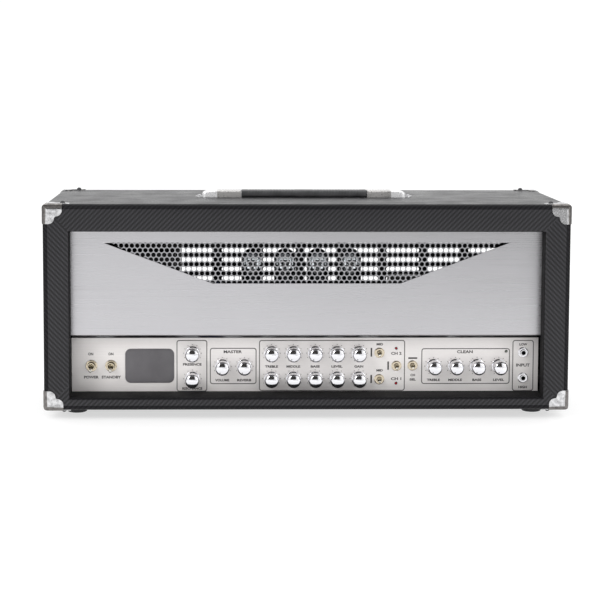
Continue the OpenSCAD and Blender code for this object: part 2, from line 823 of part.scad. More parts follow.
base_h = 17;
base_r = 17;
flange_h = 3.6;
module power_tubes() {
    base_z = chassis_top + flange_h;
    glass_z = base_z + base_h;
    for (x = TUBES) translate([x, tube_y, 0]) {
        color("#2b2523") difference() {
            translate([0, 0, base_z]) cylinder(h = base_h, r = base_r);
            translate([0, 0, base_z + 3]) cylinder(h = base_h, r = base_r - 2.5);
        }
        color("#cfd4d6") difference() {
            union() {
                translate([0, 0, glass_z]) cylinder(h = tube_top - tube_r - glass_z, r = tube_r);
                translate([0, 0, tube_top - tube_r]) sphere(tube_r);
            }
            translate([0, 0, glass_z - 1]) cylinder(h = tube_top - tube_r - glass_z + 1, r = tube_r - 1.2);
            translate([0, 0, tube_top - tube_r]) sphere(tube_r - 1.2);
            translate([0, 0, glass_z - tube_r]) cylinder(h = tube_r, r = tube_r + 1);
        }
        color("#55565a") translate([0, 0, glass_z + 18]) cylinder(h = 52, r = 9);
        color("#55565a") translate([0, 0, base_z + 3]) cylinder(h = base_h + 15, r = 1.5);
    }
}

module tube_sockets() {
    color("#e6e1d6") {
        for (x = TUBES) translate([x, tube_y, 0]) {
            translate([0, 0, chassis_top - 11]) cylinder(h = 11, r = socket_hole_r - 0.2);
            translate([0, 0, chassis_top]) cylinder(h = flange_h, r = 19);
        }
        for (x = SMALL_TUBES) translate([x, small_tube_y, 0]) {
            translate([0, 0, chassis_top - 8]) cylinder(h = 8, r = small_socket_hole_r - 0.2);
            translate([0, 0, chassis_top]) cylinder(h = flange_h, r = 12.5);
        }
    }
}

small_r = 10.2;
small_h = 46;
module preamp_tubes() {
    color("#c9cdd0") for (x = SMALL_TUBES) translate([x, small_tube_y, chassis_top + flange_h]) {
        cylinder(h = small_h, r = small_r);
        translate([0, 0, small_h]) sphere(4);
    }
}

module preamp_shields() {
    color("#b4b5b9") for (x = SMALL_TUBES) translate([x, small_tube_y, chassis_top + flange_h])
        difference() {
            cylinder(h = small_h + 6, r = 11.6);
            translate([0, 0, -1]) cylinder(h = small_h + 6, r = 10.9);
            cylinder(h = small_h + 10, r = 6);
        }
}

can_r = 17.5;
can_h = 60;
module filter_capacitors() {
    color("#2f3f66") for (y = CAPS) translate([caps_x, y, chassis_top]) {
        difference() {
            cylinder(h = 14, r = can_r + 1.2);
            translate([0, 0, -1]) cylinder(h = 16, r = can_r);
        }
        cylinder(h = can_h, r = can_r);
    }
}

board_z = 75;
board_t = 1.6;
module circuit_board() {
    color("#2f5a3a") block([-180, -50, board_z], [300, 88, board_z + board_t]);
    color("#c9b98a") for (x = [-172, 60, 292], y = [-42, 80])
        translate([x, y, board_z + board_t]) cylinder(h = chassis_top - chassis_t - board_z - board_t, r = 3);
    color("#27415f") for (i = [0:7]) translate([-150 + i * 50, 62, board_z + board_t])
        cylinder(h = 18, r = 6);
    color("#a58b5c") for (i = [0:21]) translate([-160 + i * 20, 28, board_z + board_t + 2])
        rotate([90, 0, 0]) cylinder(h = 12, r = 2);
}

tank_l = 240;
tank_w = 111;
tank_h = 32;
tank_x = 40;
tank_y = -22;
module reverb_tank() {
    low = ceiling_z - tank_h - 2;
    color("#8f9093") difference() {
        block([tank_x, tank_y, low], [tank_x + tank_l, tank_y + tank_w, low + tank_h]);
        block([tank_x + 1.2, tank_y + 1.2, low + 1.2],
              [tank_x + tank_l - 1.2, tank_y + tank_w - 1.2, low + tank_h + 1]);
    }
    // springs between two transducer blocks
    color("#77787c") for (y = [25, 45, 65]) translate([tank_x + 30, tank_y + y, low + 14])
        rotate([0, 90, 0]) cylinder(h = tank_l - 60, r = 3);
    color("#3a3a3c") for (x = [12, tank_l - 30])
        block([tank_x + x, tank_y + 15, low + 1.2], [tank_x + x + 18, tank_y + 75, low + 20]);
    // grommets up to the board
    color("#1b1b1c") for (x = [8, tank_l - 8], y = [10, tank_w - 10])
        translate([tank_x + x, tank_y + y, low + 1.2]) cylinder(h = tank_h + 0.8, r = 4);
}

// ---- What is drawn ----

cabinet_top_board();
cabinet_bottom_board();
cabinet_sides();
front_frame();
rear_cleats();
corner_protectors();
corner_screws();
rubber_feet();
fixing_screws();
handle_end_caps();
handle_strap();
vent_panel();
vent_grille();
control_panel();
blank_badge();
chassis();
jack_sockets();
mains_inlet();
selector_switch();
power_transformer();
output_transformer();
choke();
power_tubes();
tube_sockets();
preamp_tubes();
preamp_shields();
filter_capacitors();
circuit_board();
potentiometers();
toggle_bodies();
panel_nuts();
indicator_lamps();
reverb_tank();
rear_cover();
handle_grip();
selector_knob();
for (k = KNOBS) knob(k[1], k[2]);
for (t = TOGGLES) lever(t[1], t[2], t[3]);
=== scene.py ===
import json
import math

import bmesh
import bpy
from mathutils import Matrix, Vector


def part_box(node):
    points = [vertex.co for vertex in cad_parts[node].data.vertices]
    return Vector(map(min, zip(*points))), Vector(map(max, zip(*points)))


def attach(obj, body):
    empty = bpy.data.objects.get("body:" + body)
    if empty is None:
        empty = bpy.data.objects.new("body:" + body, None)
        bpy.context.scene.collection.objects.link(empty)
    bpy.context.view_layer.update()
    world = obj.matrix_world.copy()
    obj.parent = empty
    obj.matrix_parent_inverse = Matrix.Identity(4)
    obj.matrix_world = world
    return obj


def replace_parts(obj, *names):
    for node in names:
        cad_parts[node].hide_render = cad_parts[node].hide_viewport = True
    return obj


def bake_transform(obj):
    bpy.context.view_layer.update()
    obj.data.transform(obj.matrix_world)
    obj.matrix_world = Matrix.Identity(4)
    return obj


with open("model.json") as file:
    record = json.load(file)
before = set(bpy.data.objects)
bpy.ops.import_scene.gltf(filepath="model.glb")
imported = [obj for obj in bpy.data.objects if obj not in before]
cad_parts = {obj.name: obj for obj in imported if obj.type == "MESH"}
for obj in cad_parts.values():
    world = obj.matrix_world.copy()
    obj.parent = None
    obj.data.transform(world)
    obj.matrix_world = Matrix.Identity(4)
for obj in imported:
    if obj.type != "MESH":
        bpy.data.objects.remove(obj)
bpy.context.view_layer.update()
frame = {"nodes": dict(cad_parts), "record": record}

MM = 0.001

# ---- the frame's places


def mm(*values):
    """Millimetres to metres, as a vector."""
    return Vector(values) * MM


def new_object(name, data):
    obj = bpy.data.objects.new(name, data)
    bpy.context.scene.collection.objects.link(obj)
    return obj


def box_of(*nodes):
    """Lowest and highest corner of one or more CAD nodes, in metres."""
    boxes = [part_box(n) for n in nodes]
    low = Vector([min(b[0][i] for b in boxes) for i in range(3)])
    high = Vector([max(b[1][i] for b in boxes) for i in range(3)])
    return low, high


BOARDS = ("cabinet_top_board", "cabinet_bottom_board", "cabinet_sides")
CAB_LOW, CAB_HIGH = box_of(*BOARDS)
PANEL_FACE = box_of("control_panel")[0].y
REAR_FACE = box_of("chassis")[1].y
KNOBS = sorted(n for n in frame["nodes"] if n.startswith("knob_"))
TOGGLES = sorted(n for n in frame["nodes"] if n.startswith("toggle_") and n != "toggle_bodies")
BODY_OF = {n: b for b, ns in frame["record"]["behaviour"]["bodies"].items() for n in ns}
ROOT = BODY_OF["control_panel"]
JOINT_OF = {j["child"]: j for j in frame["record"]["behaviour"]["joints"]}


def pivot_of(node):
    """Where a moving node turns, on the panel's face."""
    return Vector(JOINT_OF[BODY_OF[node]]["pos_m"])


# ---- camera


def add_camera():
    data = bpy.data.cameras.new("camera")
    data.sensor_width = 36.0
    data.lens = 99.667
    data.shift_x = 0.0504
    data.shift_y = -0.1503
    data.clip_end = 50.0
    camera = new_object("camera", data)
    pitch, roll, yaw = 0.08741, -0.00274, 0.02172
    camera.location = (-0.10519, -2.47712, 0.50631)
    camera.rotation_euler = (math.pi / 2 - pitch, roll, -yaw)
    bpy.context.scene.camera = camera


add_camera()

# ---- node materials


class Shader:
    """A material with one Principled shader, and short calls for its nodes."""

    def __init__(self, name, colour, rough, metal=0.0, **sockets):
        self.mat = bpy.data.materials.new(name)
        self.mat.use_nodes = True
        self.tree = self.mat.node_tree
        self.tree.nodes.clear()
        self.bsdf = self.add("BsdfPrincipled", Base_Color=(*colour, 1.0), Roughness=rough,
                             Metallic=metal, **sockets)
        self.add("OutputMaterial", Surface=self.bsdf.outputs[0])

    def feed(self, socket, value):
        """Links another node's output to a socket, or sets the socket's own value."""
        if isinstance(value, bpy.types.NodeSocket):
            self.tree.links.new(value, socket)
        else:
            socket.default_value = value

    def add(self, kind, **inputs):
        """A new node, with its inputs by name; an underscore stands for a space."""
        node = self.tree.nodes.new("ShaderNode" + kind)
        for key, value in inputs.items():
            self.feed(node.inputs[key.replace("_", " ")], value)
        return node

    def place(self, scale=(1, 1, 1)):
        """Object coordinates, stretched; in metres when scale is 1."""
        coords = self.add("TexCoord").outputs["Object"]
        return self.add("Mapping", Vector=coords, Scale=scale).outputs[0]

    def noise(self, vector, scale, detail=3.0, rough=0.5):
        node = self.add("TexNoise", Vector=vector, Scale=scale, Detail=detail, Roughness=rough)
        return node.outputs[0]

    def remap(self, value, low, high, to_low=0.0, to_high=1.0):
        node = self.add("MapRange", Value=value)
        for i, v in enumerate((low, high, to_low, to_high)):
            node.inputs[i + 1].default_value = v
        return node.outputs[0]

    def math(self, kind, a, b=0.0):
        node = self.add("Math")
        node.operation = kind
        self.feed(node.inputs[0], a)
        self.feed(node.inputs[1], b)
        return node.outputs[0]

    def mix(self, factor, a, b):
        """Mixes two colours."""
        node = self.add("Mix")
        node.data_type = "RGBA"
        self.feed(node.inputs[0], factor)
        for i, colour in ((6, a), (7, b)):
            self.feed(node.inputs[i], (*colour, 1.0) if isinstance(colour, tuple) else colour)
        return node.outputs[2]

    def colour(self, value):
        self.feed(self.bsdf.inputs["Base Color"], value)

    def rough(self, value):
        self.feed(self.bsdf.inputs["Roughness"], value)

    def bump(self, height, strength, distance):
        node = self.add("Bump", Height=height, Strength=strength, Distance=distance)
        self.feed(self.bsdf.inputs["Normal"], node.outputs[0])


def darker(colour, factor):
    return tuple(c * factor for c in colour)


def brushed(name, colour, rough, along="x", streak=0.12, metal=1.0):
    """Brushed metal: fine lines along one axis, with blotches and a few long scratches."""
    s = Shader(name, colour, rough, metal)
    long, short = 5.0, 1500.0
    scale = (long, short, short) if along == "x" else (short, short, long)
    grain = s.noise(s.place(scale), 1.0, 4.0, 0.6)
    blotch = s.noise(s.place((1, 1, 1)), 6.0, 3.0)
    scratch = s.noise(s.place(tuple(v * 0.35 for v in scale)), 1.0, 2.0)
    mixed = s.mix(s.remap(grain, 0.3, 0.7), darker(colour, 1 - streak), darker(colour, 1 + streak))
    tinted = s.mix(s.remap(blotch, 0.35, 0.65, 0.0, 0.35), mixed, darker(colour, 0.93))
    s.colour(tinted)
    rough_grain = s.remap(grain, 0.25, 0.75, rough - 0.07, rough + 0.07)
    s.rough(s.math("ADD", rough_grain, s.remap(scratch, 0.6, 0.75, 0.0, 0.08)))
    s.bump(grain, 0.08, 0.00005)
    return s.mat


def polished(name, colour=(0.72, 0.72, 0.74), rough=0.07):
    """Chrome with soft waves, hairline marks and a little grime."""
    s = Shader(name, colour, rough, 1.0)
    hair = s.noise(s.place((900, 900, 60)), 1.0, 3.0)
    grime = s.noise(s.place(), 90.0, 5.0)
    s.rough(s.math("ADD", s.remap(hair, 0.55, 0.8, rough, rough + 0.09),
                   s.remap(grime, 0.55, 0.8, 0.0, 0.08)))
    s.colour(s.mix(s.remap(grime, 0.5, 0.8, 0.0, 0.5), colour, darker(colour, 0.86)))
    s.bump(s.noise(s.place(), 70.0, 2.0), 0.05, 0.0003)
    return s.mat


def stamped(name, colour=(0.62, 0.62, 0.63), rough=0.16):
    """Chromed stamping: shallow dents, cloudy patches and rubbed specks."""
    s = Shader(name, colour, rough, 1.0)
    cloud = s.noise(s.place(), 170.0, 5.0)
    dents = s.noise(s.place(), 240.0, 2.0)
    s.colour(s.mix(s.remap(cloud, 0.4, 0.65), darker(colour, 1.15), darker(colour, 0.66)))
    s.rough(s.remap(cloud, 0.4, 0.7, rough, rough + 0.2))
    s.bump(dents, 0.14, 0.0005)
    return s.mat


def lacquer(name, colour, rough, metal, peel, grain=900.0, worn=None):
    """Paint or moulded plastic: orange peel, dust, and a slightly uneven tone."""
    s = Shader(name, colour, rough, metal)
    fine = s.noise(s.place(), grain, 3.0)
    broad = s.noise(s.place(), 25.0, 4.0)
    tone = s.mix(s.remap(broad, 0.3, 0.7), darker(colour, 0.82), darker(colour, 1.2))
    if worn:
        tone = s.mix(s.remap(s.noise(s.place(), 160.0, 6.0), 0.66, 0.74), tone, worn)
    s.colour(tone)
    s.rough(s.remap(s.math("ADD", fine, broad), 0.7, 1.3, rough - 0.08, rough + 0.1))
    s.bump(fine, peel, 0.0002)
    return s.mat


def rubber(name, colour=(0.022, 0.022, 0.024), rough=0.62):
    s = Shader(name, colour, rough, Specular_IOR_Level=0.4)
    pebble = s.add("TexVoronoi", Vector=s.place(), Scale=1400.0)
    dust = s.noise(s.place(), 60.0, 5.0)
    s.colour(s.mix(s.remap(dust, 0.4, 0.75, 0.0, 0.6), colour, darker(colour, 2.4)))
    s.rough(s.remap(dust, 0.3, 0.7, rough - 0.06, rough + 0.12))
    s.bump(pebble.outputs["Distance"], 0.25, 0.0002)
    return s.mat


TOW = 1.8 * MM


def twill(name, dark=(0.006, 0.006, 0.007), light=(0.030, 0.029, 0.034), gloss=0.36, rough=0.34):
    """Carbon-look vinyl: a 2/2 twill of flat tows, laid out by the UV map in metres; the light colour is
    a painted sheen on the tows along u.
    """
    s = Shader(name, dark, rough, Specular_IOR_Level=gloss)
    split = s.add("SeparateXYZ", Vector=s.add("UVMap").outputs[0])
    u = s.math("DIVIDE", split.outputs[0], TOW)
    v = s.math("DIVIDE", split.outputs[1], TOW)
    steps = s.math("SUBTRACT", s.math("FLOOR", u), s.math("FLOOR", v))
    over = s.math("LESS_THAN", s.math("FLOORED_MODULO", steps, 4.0), 2.0)
    crown_u = s.math("SINE", s.math("MULTIPLY", s.math("FRACT", u), math.pi))
    crown_v = s.math("SINE", s.math("MULTIPLY", s.math("FRACT", v), math.pi))
    # the tows running along u are painted lighter than those along v: a painted sheen standing in for
    # their glints
    tow_sheen = s.mix(over, (0, 0, 0), (1, 1, 1))
    tow_u = s.math("MULTIPLY", over, crown_u)
    tow_v = s.math("MULTIPLY", s.math("SUBTRACT", 1.0, over), crown_v)
    height = s.math("ADD", tow_u, tow_v)
    blotch = s.noise(s.place(), 30.0, 4.0)
    base = s.mix(tow_sheen, dark, light)
    # darker at the edges of each tow, in the grooves between tows: painted shade
    s.colour(s.mix(s.remap(height, 0.1, 0.6), darker(dark, 0.45), base))
    fibre = s.noise(s.place((700, 700, 700)), 1.0, 2.0)
    s.rough(s.math("ADD", s.remap(blotch, 0.3, 0.7, rough, rough + 0.12),
                   s.math("MULTIPLY", over, -0.08)))
    s.bump(s.math("ADD", height, s.math("MULTIPLY", fibre, 0.25)), 0.55, 0.00012)
    return s.mat


def laminations(name):
    """Transformer core: thin plates stacked along Y, dipped in dark varnish."""
    s = Shader(name, (0.06, 0.058, 0.055), 0.4, 0.4)
    wave = s.add("TexWave", Vector=s.place(), Scale=420.0, Distortion=0.4)
    wave.bands_direction = "Y"
    drip = s.noise(s.place(), 45.0, 4.0)
    s.colour(s.mix(s.remap(drip, 0.3, 0.7), (0.035, 0.033, 0.03), (0.1, 0.095, 0.088)))
    s.rough(s.remap(drip, 0.3, 0.7, 0.3, 0.55))
    s.bump(wave.outputs["Fac"], 0.4, 0.0002)
    return s.mat


def painted_wood(name):
    colour = (0.02, 0.019, 0.018)
    s = Shader(name, colour, 0.7)
    grain = s.noise(s.place((400, 400, 18)), 1.0, 5.0)
    s.colour(s.mix(s.remap(grain, 0.35, 0.65), darker(colour, 0.7), darker(colour, 1.8)))
    s.bump(grain, 0.4, 0.0003)
    return s.mat


def circuit(name):
    """Solder mask with tracks and pads."""
    s = Shader(name, (0.02, 0.10, 0.04), 0.32)
    track = s.add("TexBrick", Vector=s.place((160, 160, 160)), Color1=(0.02, 0.11, 0.045, 1),
                  Color2=(0.015, 0.08, 0.03, 1), Mortar=(0.05, 0.2, 0.08, 1), Mortar_Size=0.03)
    s.colour(track.outputs["Color"])
    s.bump(track.outputs["Fac"], 0.3, 0.0001)
    return s.mat


def clear_glass(name):
    s = Shader(name, (0.9, 0.93, 0.95), 0.03, Transmission_Weight=1.0, IOR=1.45)
    film = s.noise(s.place(), 50.0, 4.0)
    s.rough(s.remap(film, 0.4, 0.8, 0.02, 0.12))
    return s.mat


def lens(name, colour):
    """Moulded lamp lens with a faint cell pattern."""
    s = Shader(name, colour, 0.2)
    cell = s.noise(s.place(), 1800.0, 2.0)
    s.colour(s.mix(cell, darker(colour, 0.6), darker(colour, 1.4)))
    s.bump(cell, 0.1, 0.0001)
    return s.mat


VINYL = twill("vinyl_twill")
VINYL_INSIDE = twill("vinyl_inside", (0.007, 0.007, 0.007), (0.026, 0.025, 0.027), 0.1, 0.7)
# a darker copy of the vinyl for the front's rounded outer edges: painted shade
VINYL_EDGE_SHADE = twill("vinyl_edge_painted_shade", (0.004, 0.004, 0.005), (0.014, 0.013, 0.016), 0.14, 0.5)
STEEL_VENT = brushed("vent_brushed", (0.56, 0.555, 0.575), 0.3, streak=0.03)
STEEL_GRILLE = brushed("grille_brushed", (0.42, 0.42, 0.44), 0.4, streak=0.06)
STAINLESS = brushed("panel_brushed", (0.80, 0.772, 0.76), 0.45, streak=0.05, metal=0.4)
CHASSIS = lacquer("chassis_zinc", (0.42, 0.42, 0.44), 0.38, 0.9, 0.1, 400.0)
CHROME = polished("chrome")
CORNER = stamped("corner_stamping")
# a dark copy of the corner chrome for its rounded edges: a painted reflection of dark surroundings
CORNER_EDGE_REFLECTION = stamped("corner_edge_painted_reflection", (0.19, 0.18, 0.175), 0.3)
CAP = lacquer("cap_satin", (0.86, 0.86, 0.87), 0.26, 0.45, 0.05, 300.0)
CAP_INNER = lacquer("cap_ribbed", (0.50, 0.49, 0.48), 0.3, 0.6, 0.05, 300.0)
KNOB_CHROME = polished("knob_chrome", (0.82, 0.82, 0.85), 0.09)
LEVER = polished("lever_nickel", (0.80, 0.78, 0.72), 0.26)
NICKEL = polished("warm_nickel", (0.60, 0.53, 0.41), 0.14)
ZINC = lacquer("zinc_screw", (0.5, 0.5, 0.51), 0.35, 1.0, 0.1)
BLACK_METAL = lacquer("black_enamel", (0.03, 0.03, 0.033), 0.32, 0.0, 0.1, 700.0, (0.10, 0.10, 0.10))
COVER = lacquer("rear_enamel", (0.035, 0.035, 0.038), 0.5, 0.0, 0.2, 1100.0)
BADGE = lacquer("badge_satin", (0.125, 0.12, 0.128), 0.45, 0.3, 0.08, 1300.0)
INK = lacquer("panel_ink", (0.035, 0.032, 0.032), 0.5, 0.0, 0.05, 2000.0)
GREY_INK = lacquer("panel_grey_ink", (0.11, 0.105, 0.105), 0.5, 0.0, 0.05, 2000.0)
RUBBER = rubber("black_rubber")
GRIP = rubber("grip_rubber", (0.04, 0.04, 0.042), 0.46)
PLASTIC = lacquer("black_plastic", (0.022, 0.022, 0.024), 0.4, 0.0, 0.15, 1500.0)
WOOD = painted_wood("painted_batten")
CORE = laminations("lamination_stack")
BELL = lacquer("bell_lacquer", (0.03, 0.03, 0.032), 0.3, 0.2, 0.12, 500.0)
GLASS = clear_glass("valve_glass")
ANODE = lacquer("anode_grey", (0.10, 0.10, 0.105), 0.6, 0.7, 0.2, 600.0)
BASE = lacquer("valve_base", (0.03, 0.022, 0.018), 0.35, 0.0, 0.08, 900.0)
CERAMIC = lacquer("socket_glaze", (0.72, 0.70, 0.64), 0.22, 0.0, 0.06, 300.0)
ALUMINIUM = brushed("shield_aluminium", (0.60, 0.60, 0.62), 0.3, "z")
SLEEVE = lacquer("capacitor_sleeve", (0.02, 0.035, 0.12), 0.25, 0.0, 0.05, 500.0)
BOARD = circuit("circuit_board_mask")
POT_METAL = lacquer("pot_metal", (0.40, 0.38, 0.34), 0.4, 0.9, 0.1, 800.0)
LENS = lens("lamp_lens", (0.34, 0.018, 0.03))
IDLE_LENS = lens("idle_lamp_lens", (0.16, 0.18, 0.15))
TANK = lacquer("tank_enamel", (0.26, 0.26, 0.27), 0.45, 0.2, 0.1, 700.0)
SPRING = brushed("spring_steel", (0.40, 0.40, 0.41), 0.3)

NODE_MATERIAL = {
    "rear_cleats": WOOD, "corner_protectors": CORNER, "fixing_screws": ZINC, "vent_panel": STEEL_VENT,
    "vent_grille": STEEL_GRILLE, "control_panel": STAINLESS, "chassis": CHASSIS,
    "mains_inlet": PLASTIC, "selector_switch": POT_METAL, "tube_sockets": CERAMIC,
    "preamp_tubes": GLASS, "preamp_shields": ALUMINIUM, "filter_capacitors": SLEEVE,
    "circuit_board": BOARD, "potentiometers": POT_METAL, "reverb_tank": TANK, "rear_cover": COVER,
    "selector_knob": PLASTIC,
}

# ---- mesh helpers

SMOOTH_ANGLE = math.radians(32)


def smooth(mesh, angle):
    mesh.polygons.foreach_set("use_smooth", [True] * len(mesh.polygons))
    mesh.set_sharp_from_angle(angle=angle)


def piece(name, mesh, material, body=ROOT, place=Matrix()):
    """A new object for this mesh, riding on a body."""
    obj = new_object(name, mesh)
    obj.matrix_world = place
    if not mesh.materials:
        for m in material if isinstance(material, tuple) else (material,):
            mesh.materials.append(m)
    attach(obj, body)
    return obj


def stand_in(name, bm, material, node):
    """A piece made from this mesh, riding on the cabinet and shown in place of a CAD node."""
    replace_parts(piece(name, mesh_from(name, bm), material), node)


def mesh_from(name, bm, angle=SMOOTH_ANGLE):
    bmesh.ops.recalc_face_normals(bm, faces=bm.faces)
    mesh = bpy.data.meshes.new(name)
    bm.to_mesh(mesh)
    bm.free()
    smooth(mesh, angle)
    return mesh


def ring(bm, outline, z, place):
    """Vertices along an outline (mm), at one height."""
    return [bm.verts.new(place @ mm(x, y, z)) for x, y in outline]


def bridge(bm, rings, closed=True):
    """Joins rings with the same number of points by quads, and may close both ends."""
    count = len(rings[0])
    for a, b in zip(rings, rings[1:]):
        for i in range(count):
            j = (i + 1) % count
            bm.faces.new((a[i], a[j], b[j], b[i]))
    if closed:
        bm.faces.new(rings[-1])
        bm.faces.new(rings[0][::-1])


def circle_outline(cx, cy, r, steps, turn=0.0):
    angles = [2 * math.pi * i / steps + turn for i in range(steps)]
    return [(cx + r * math.cos(a), cy + r * math.sin(a)) for a in angles]


def lathe(bm, profile, segments, place=Matrix(), material=0):
    """Turns (radius, height) points in millimetres about Z; ends on the axis are closed."""
    rings = []
    for r, z in profile:
        outline = circle_outline(0, 0, r, segments) if r > 1e-6 else [(0, 0)]
        rings.append(ring(bm, outline, z, place))
    for lower, upper in zip(rings, rings[1:]):
        for i in range(segments):
            j = (i + 1) % segments
            corners = [lower[i % len(lower)], lower[j % len(lower)],
                       upper[j % len(upper)], upper[i % len(upper)]]
            unique = list(dict.fromkeys(corners))
            if len(unique) > 2:
                bm.faces.new(unique).material_index = material


def arc(cx, cz, radius, start, end, steps):
    """Points (r, z) along an arc, angles in degrees."""
    points = []
    for i in range(steps + 1):
        a = math.radians(start + (end - start) * i / steps)
        points.append((cx + radius * math.cos(a), cz + radius * math.sin(a)))
    return points


def facing_front(x, y, z):
    """Places a part drawn along +Z so that it looks out of the front; in metres."""
    return Matrix.Translation((x, y, z)) @ Matrix.Rotation(math.pi / 2, 4, "X")


def facing_back(x, y, z):
    return Matrix.Translation((x, y, z)) @ Matrix.Rotation(-math.pi / 2, 4, "X")


def rounded_box(bm, low, high, radius):
    """Box from one corner to the other with round edges; in metres."""
    made = bmesh.ops.create_cube(bm, size=1.0)["verts"]
    bmesh.ops.scale(bm, verts=made, vec=high - low)
    bmesh.ops.translate(bm, verts=made, vec=(low + high) / 2)
    edges = list({e for v in made for e in v.link_edges})
    bmesh.ops.bevel(bm, geom=edges, offset=radius, segments=2, profile=0.5, affect="EDGES",
                    clamp_overlap=True, material=-1)


def slab(bm, outline, low, high, place=Matrix(), hole=None):
    """Solid between two heights (mm) with this outline (mm), or a frame round a hole that has the
    same number of points."""
    skin = [ring(bm, outline, z, place) for z in (low, high)]
    if hole:
        inner_bottom, inner_top = [ring(bm, hole, z, place) for z in (low, high)]
        bridge(bm, skin + [inner_top, inner_bottom, skin[0]], closed=False)
    else:
        bridge(bm, skin)


def round_outline(cx, cy, w, h, r, steps=6):
    """Rounded rectangle as a list of points, in millimetres."""
    points = []
    for k, (sx, sy) in enumerate(((1, 1), (-1, 1), (-1, -1), (1, -1))):
        for i in range(steps + 1):
            a = math.radians(90 * k + 90 * i / steps)
            points.append((cx + sx * (w / 2 - r) + r * math.cos(a),
                           cy + sy * (h / 2 - r) + r * math.sin(a)))
    return points


# ---- covered cabinet


FLOOR_Z, CEILING_Z = (corner.z for corner in box_of("cabinet_sides"))
INNER_X = box_of("front_frame")[1].x
STILE, RAIL = 19 * MM, 21 * MM
EDGE_RADIUS, MOUTH_RADIUS = 7 * MM, 2.6 * MM


def cabinet_mesh():
    """One closed skin round the boards and the front frame, open at the front and back."""
    frame_high = box_of("front_frame")[1]
    open_x = INNER_X - STILE
    open_top = CEILING_Z - RAIL
    bm = bmesh.new()

    def frame_ring(x, low, high, y):
        return [bm.verts.new(p) for p in
                ((-x, y, low), (x, y, low), (x, y, high), (-x, y, high))]

    def band(a, b):
        return [bm.faces.new((a[i], a[(i + 1) % 4], b[(i + 1) % 4], b[i])) for i in range(4)]

    front = frame_ring(CAB_HIGH.x, CAB_LOW.z, CAB_HIGH.z, CAB_LOW.y)
    back = frame_ring(CAB_HIGH.x, CAB_LOW.z, CAB_HIGH.z, CAB_HIGH.y)
    mouth = frame_ring(open_x, FLOOR_Z, open_top, CAB_LOW.y)
    throat = frame_ring(open_x, FLOOR_Z, open_top, frame_high.y)
    shoulder = frame_ring(INNER_X, FLOOR_Z, CEILING_Z, frame_high.y)
    rear = frame_ring(INNER_X, FLOOR_Z, CEILING_Z, CAB_HIGH.y)
    band(front, back)
    band(mouth, front)
    band(throat, mouth)
    # the shoulder's lower edge lies in the floor, so that side is left out
    for i in (1, 2, 3):
        bm.faces.new((shoulder[i], shoulder[(i + 1) % 4], throat[(i + 1) % 4], throat[i]))
    band(rear, shoulder)
    band(back, rear)
    bmesh.ops.recalc_face_normals(bm, faces=bm.faces)

    def edges_of(loop):
        pairs = [{loop[i], loop[(i + 1) % 4]} for i in range(4)]
        return [e for e in bm.edges if set(e.verts) in pairs]

    outer = edges_of(front) + edges_of(back)
    outer += [e for e in bm.edges if any(set(e.verts) == {front[i], back[i]} for i in range(4))]
    inner = edges_of(mouth) + edges_of(rear)
    # round the mouth first, while its edges are known
    bmesh.ops.bevel(bm, geom=inner, offset=MOUTH_RADIUS, segments=4, profile=0.5, affect="EDGES")
    outer = [e for e in outer if e.is_valid]
    bmesh.ops.bevel(bm, geom=outer, offset=EDGE_RADIUS, segments=6, profile=0.5, affect="EDGES")
    return bm


def cover_uv(bm):
    """Lays the twill flat on each face, and turns it over on the front's side stiles."""
    layer = bm.loops.layers.uv.new("UVMap")
    for face in bm.faces:
        n = face.normal
        centre = face.calc_center_median()
        across = abs(n.x) > abs(n.y) and abs(n.x) > abs(n.z)
        flat = abs(n.z) > abs(n.y) and not across
        stile = abs(centre.x) - CAB_HIGH.x > -min(centre.z - CAB_LOW.z, CAB_HIGH.z - centre.z)
        for loop in face.loops:
            p = loop.vert.co
            if across:
                loop[layer].uv = (p.y, p.z)
            elif flat:
                loop[layer].uv = (p.x, p.y)
            else:
                loop[layer].uv = (-p.x if stile else p.x, p.z)


def build_cabinet():
    bm = cabinet_mesh()
    # cut the front face along its mitres, so that the weave can change there
    for sx in (-1, 1):
        for corner, slope in ((CAB_HIGH.z, 1), (CAB_LOW.z, -1)):
            normal = Vector((sx, 0, -slope)).normalized()
            point = Vector((sx * CAB_HIGH.x, 0, corner))
            band = [f for f in bm.faces if f.normal.y < -0.5 and f.calc_center_median().x * sx > 0]
            parts = band + list({e for f in band for e in f.edges})
            parts += list({v for f in band for v in f.verts})
            bmesh.ops.bisect_plane(bm, geom=parts, plane_co=point, plane_no=normal, dist=1e-6)
    cover_uv(bm)
    slack = 0.1 * MM
    for face in bm.faces:
        p = face.calc_center_median()
        inside = abs(p.x) < INNER_X + slack and FLOOR_Z - slack < p.z < CEILING_Z + slack
        if inside and p.y > CAB_LOW.y + 1 * MM:
            face.material_index = 1
        # the rounded outer edges of the front lie between facing forwards and facing out; they take the
        # darker copy of the vinyl, as painted shade
        elif p.y < 0 and 0.12 < -face.normal.y < 0.995 and not inside:
            face.material_index = 2
    mesh = mesh_from("cabinet_cover", bm)
    cover = piece("cabinet_cover", mesh, (VINYL, VINYL_INSIDE, VINYL_EDGE_SHADE))
    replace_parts(cover, "cabinet_top_board", "cabinet_bottom_board", "cabinet_sides", "front_frame")


# ---- knobs and switches


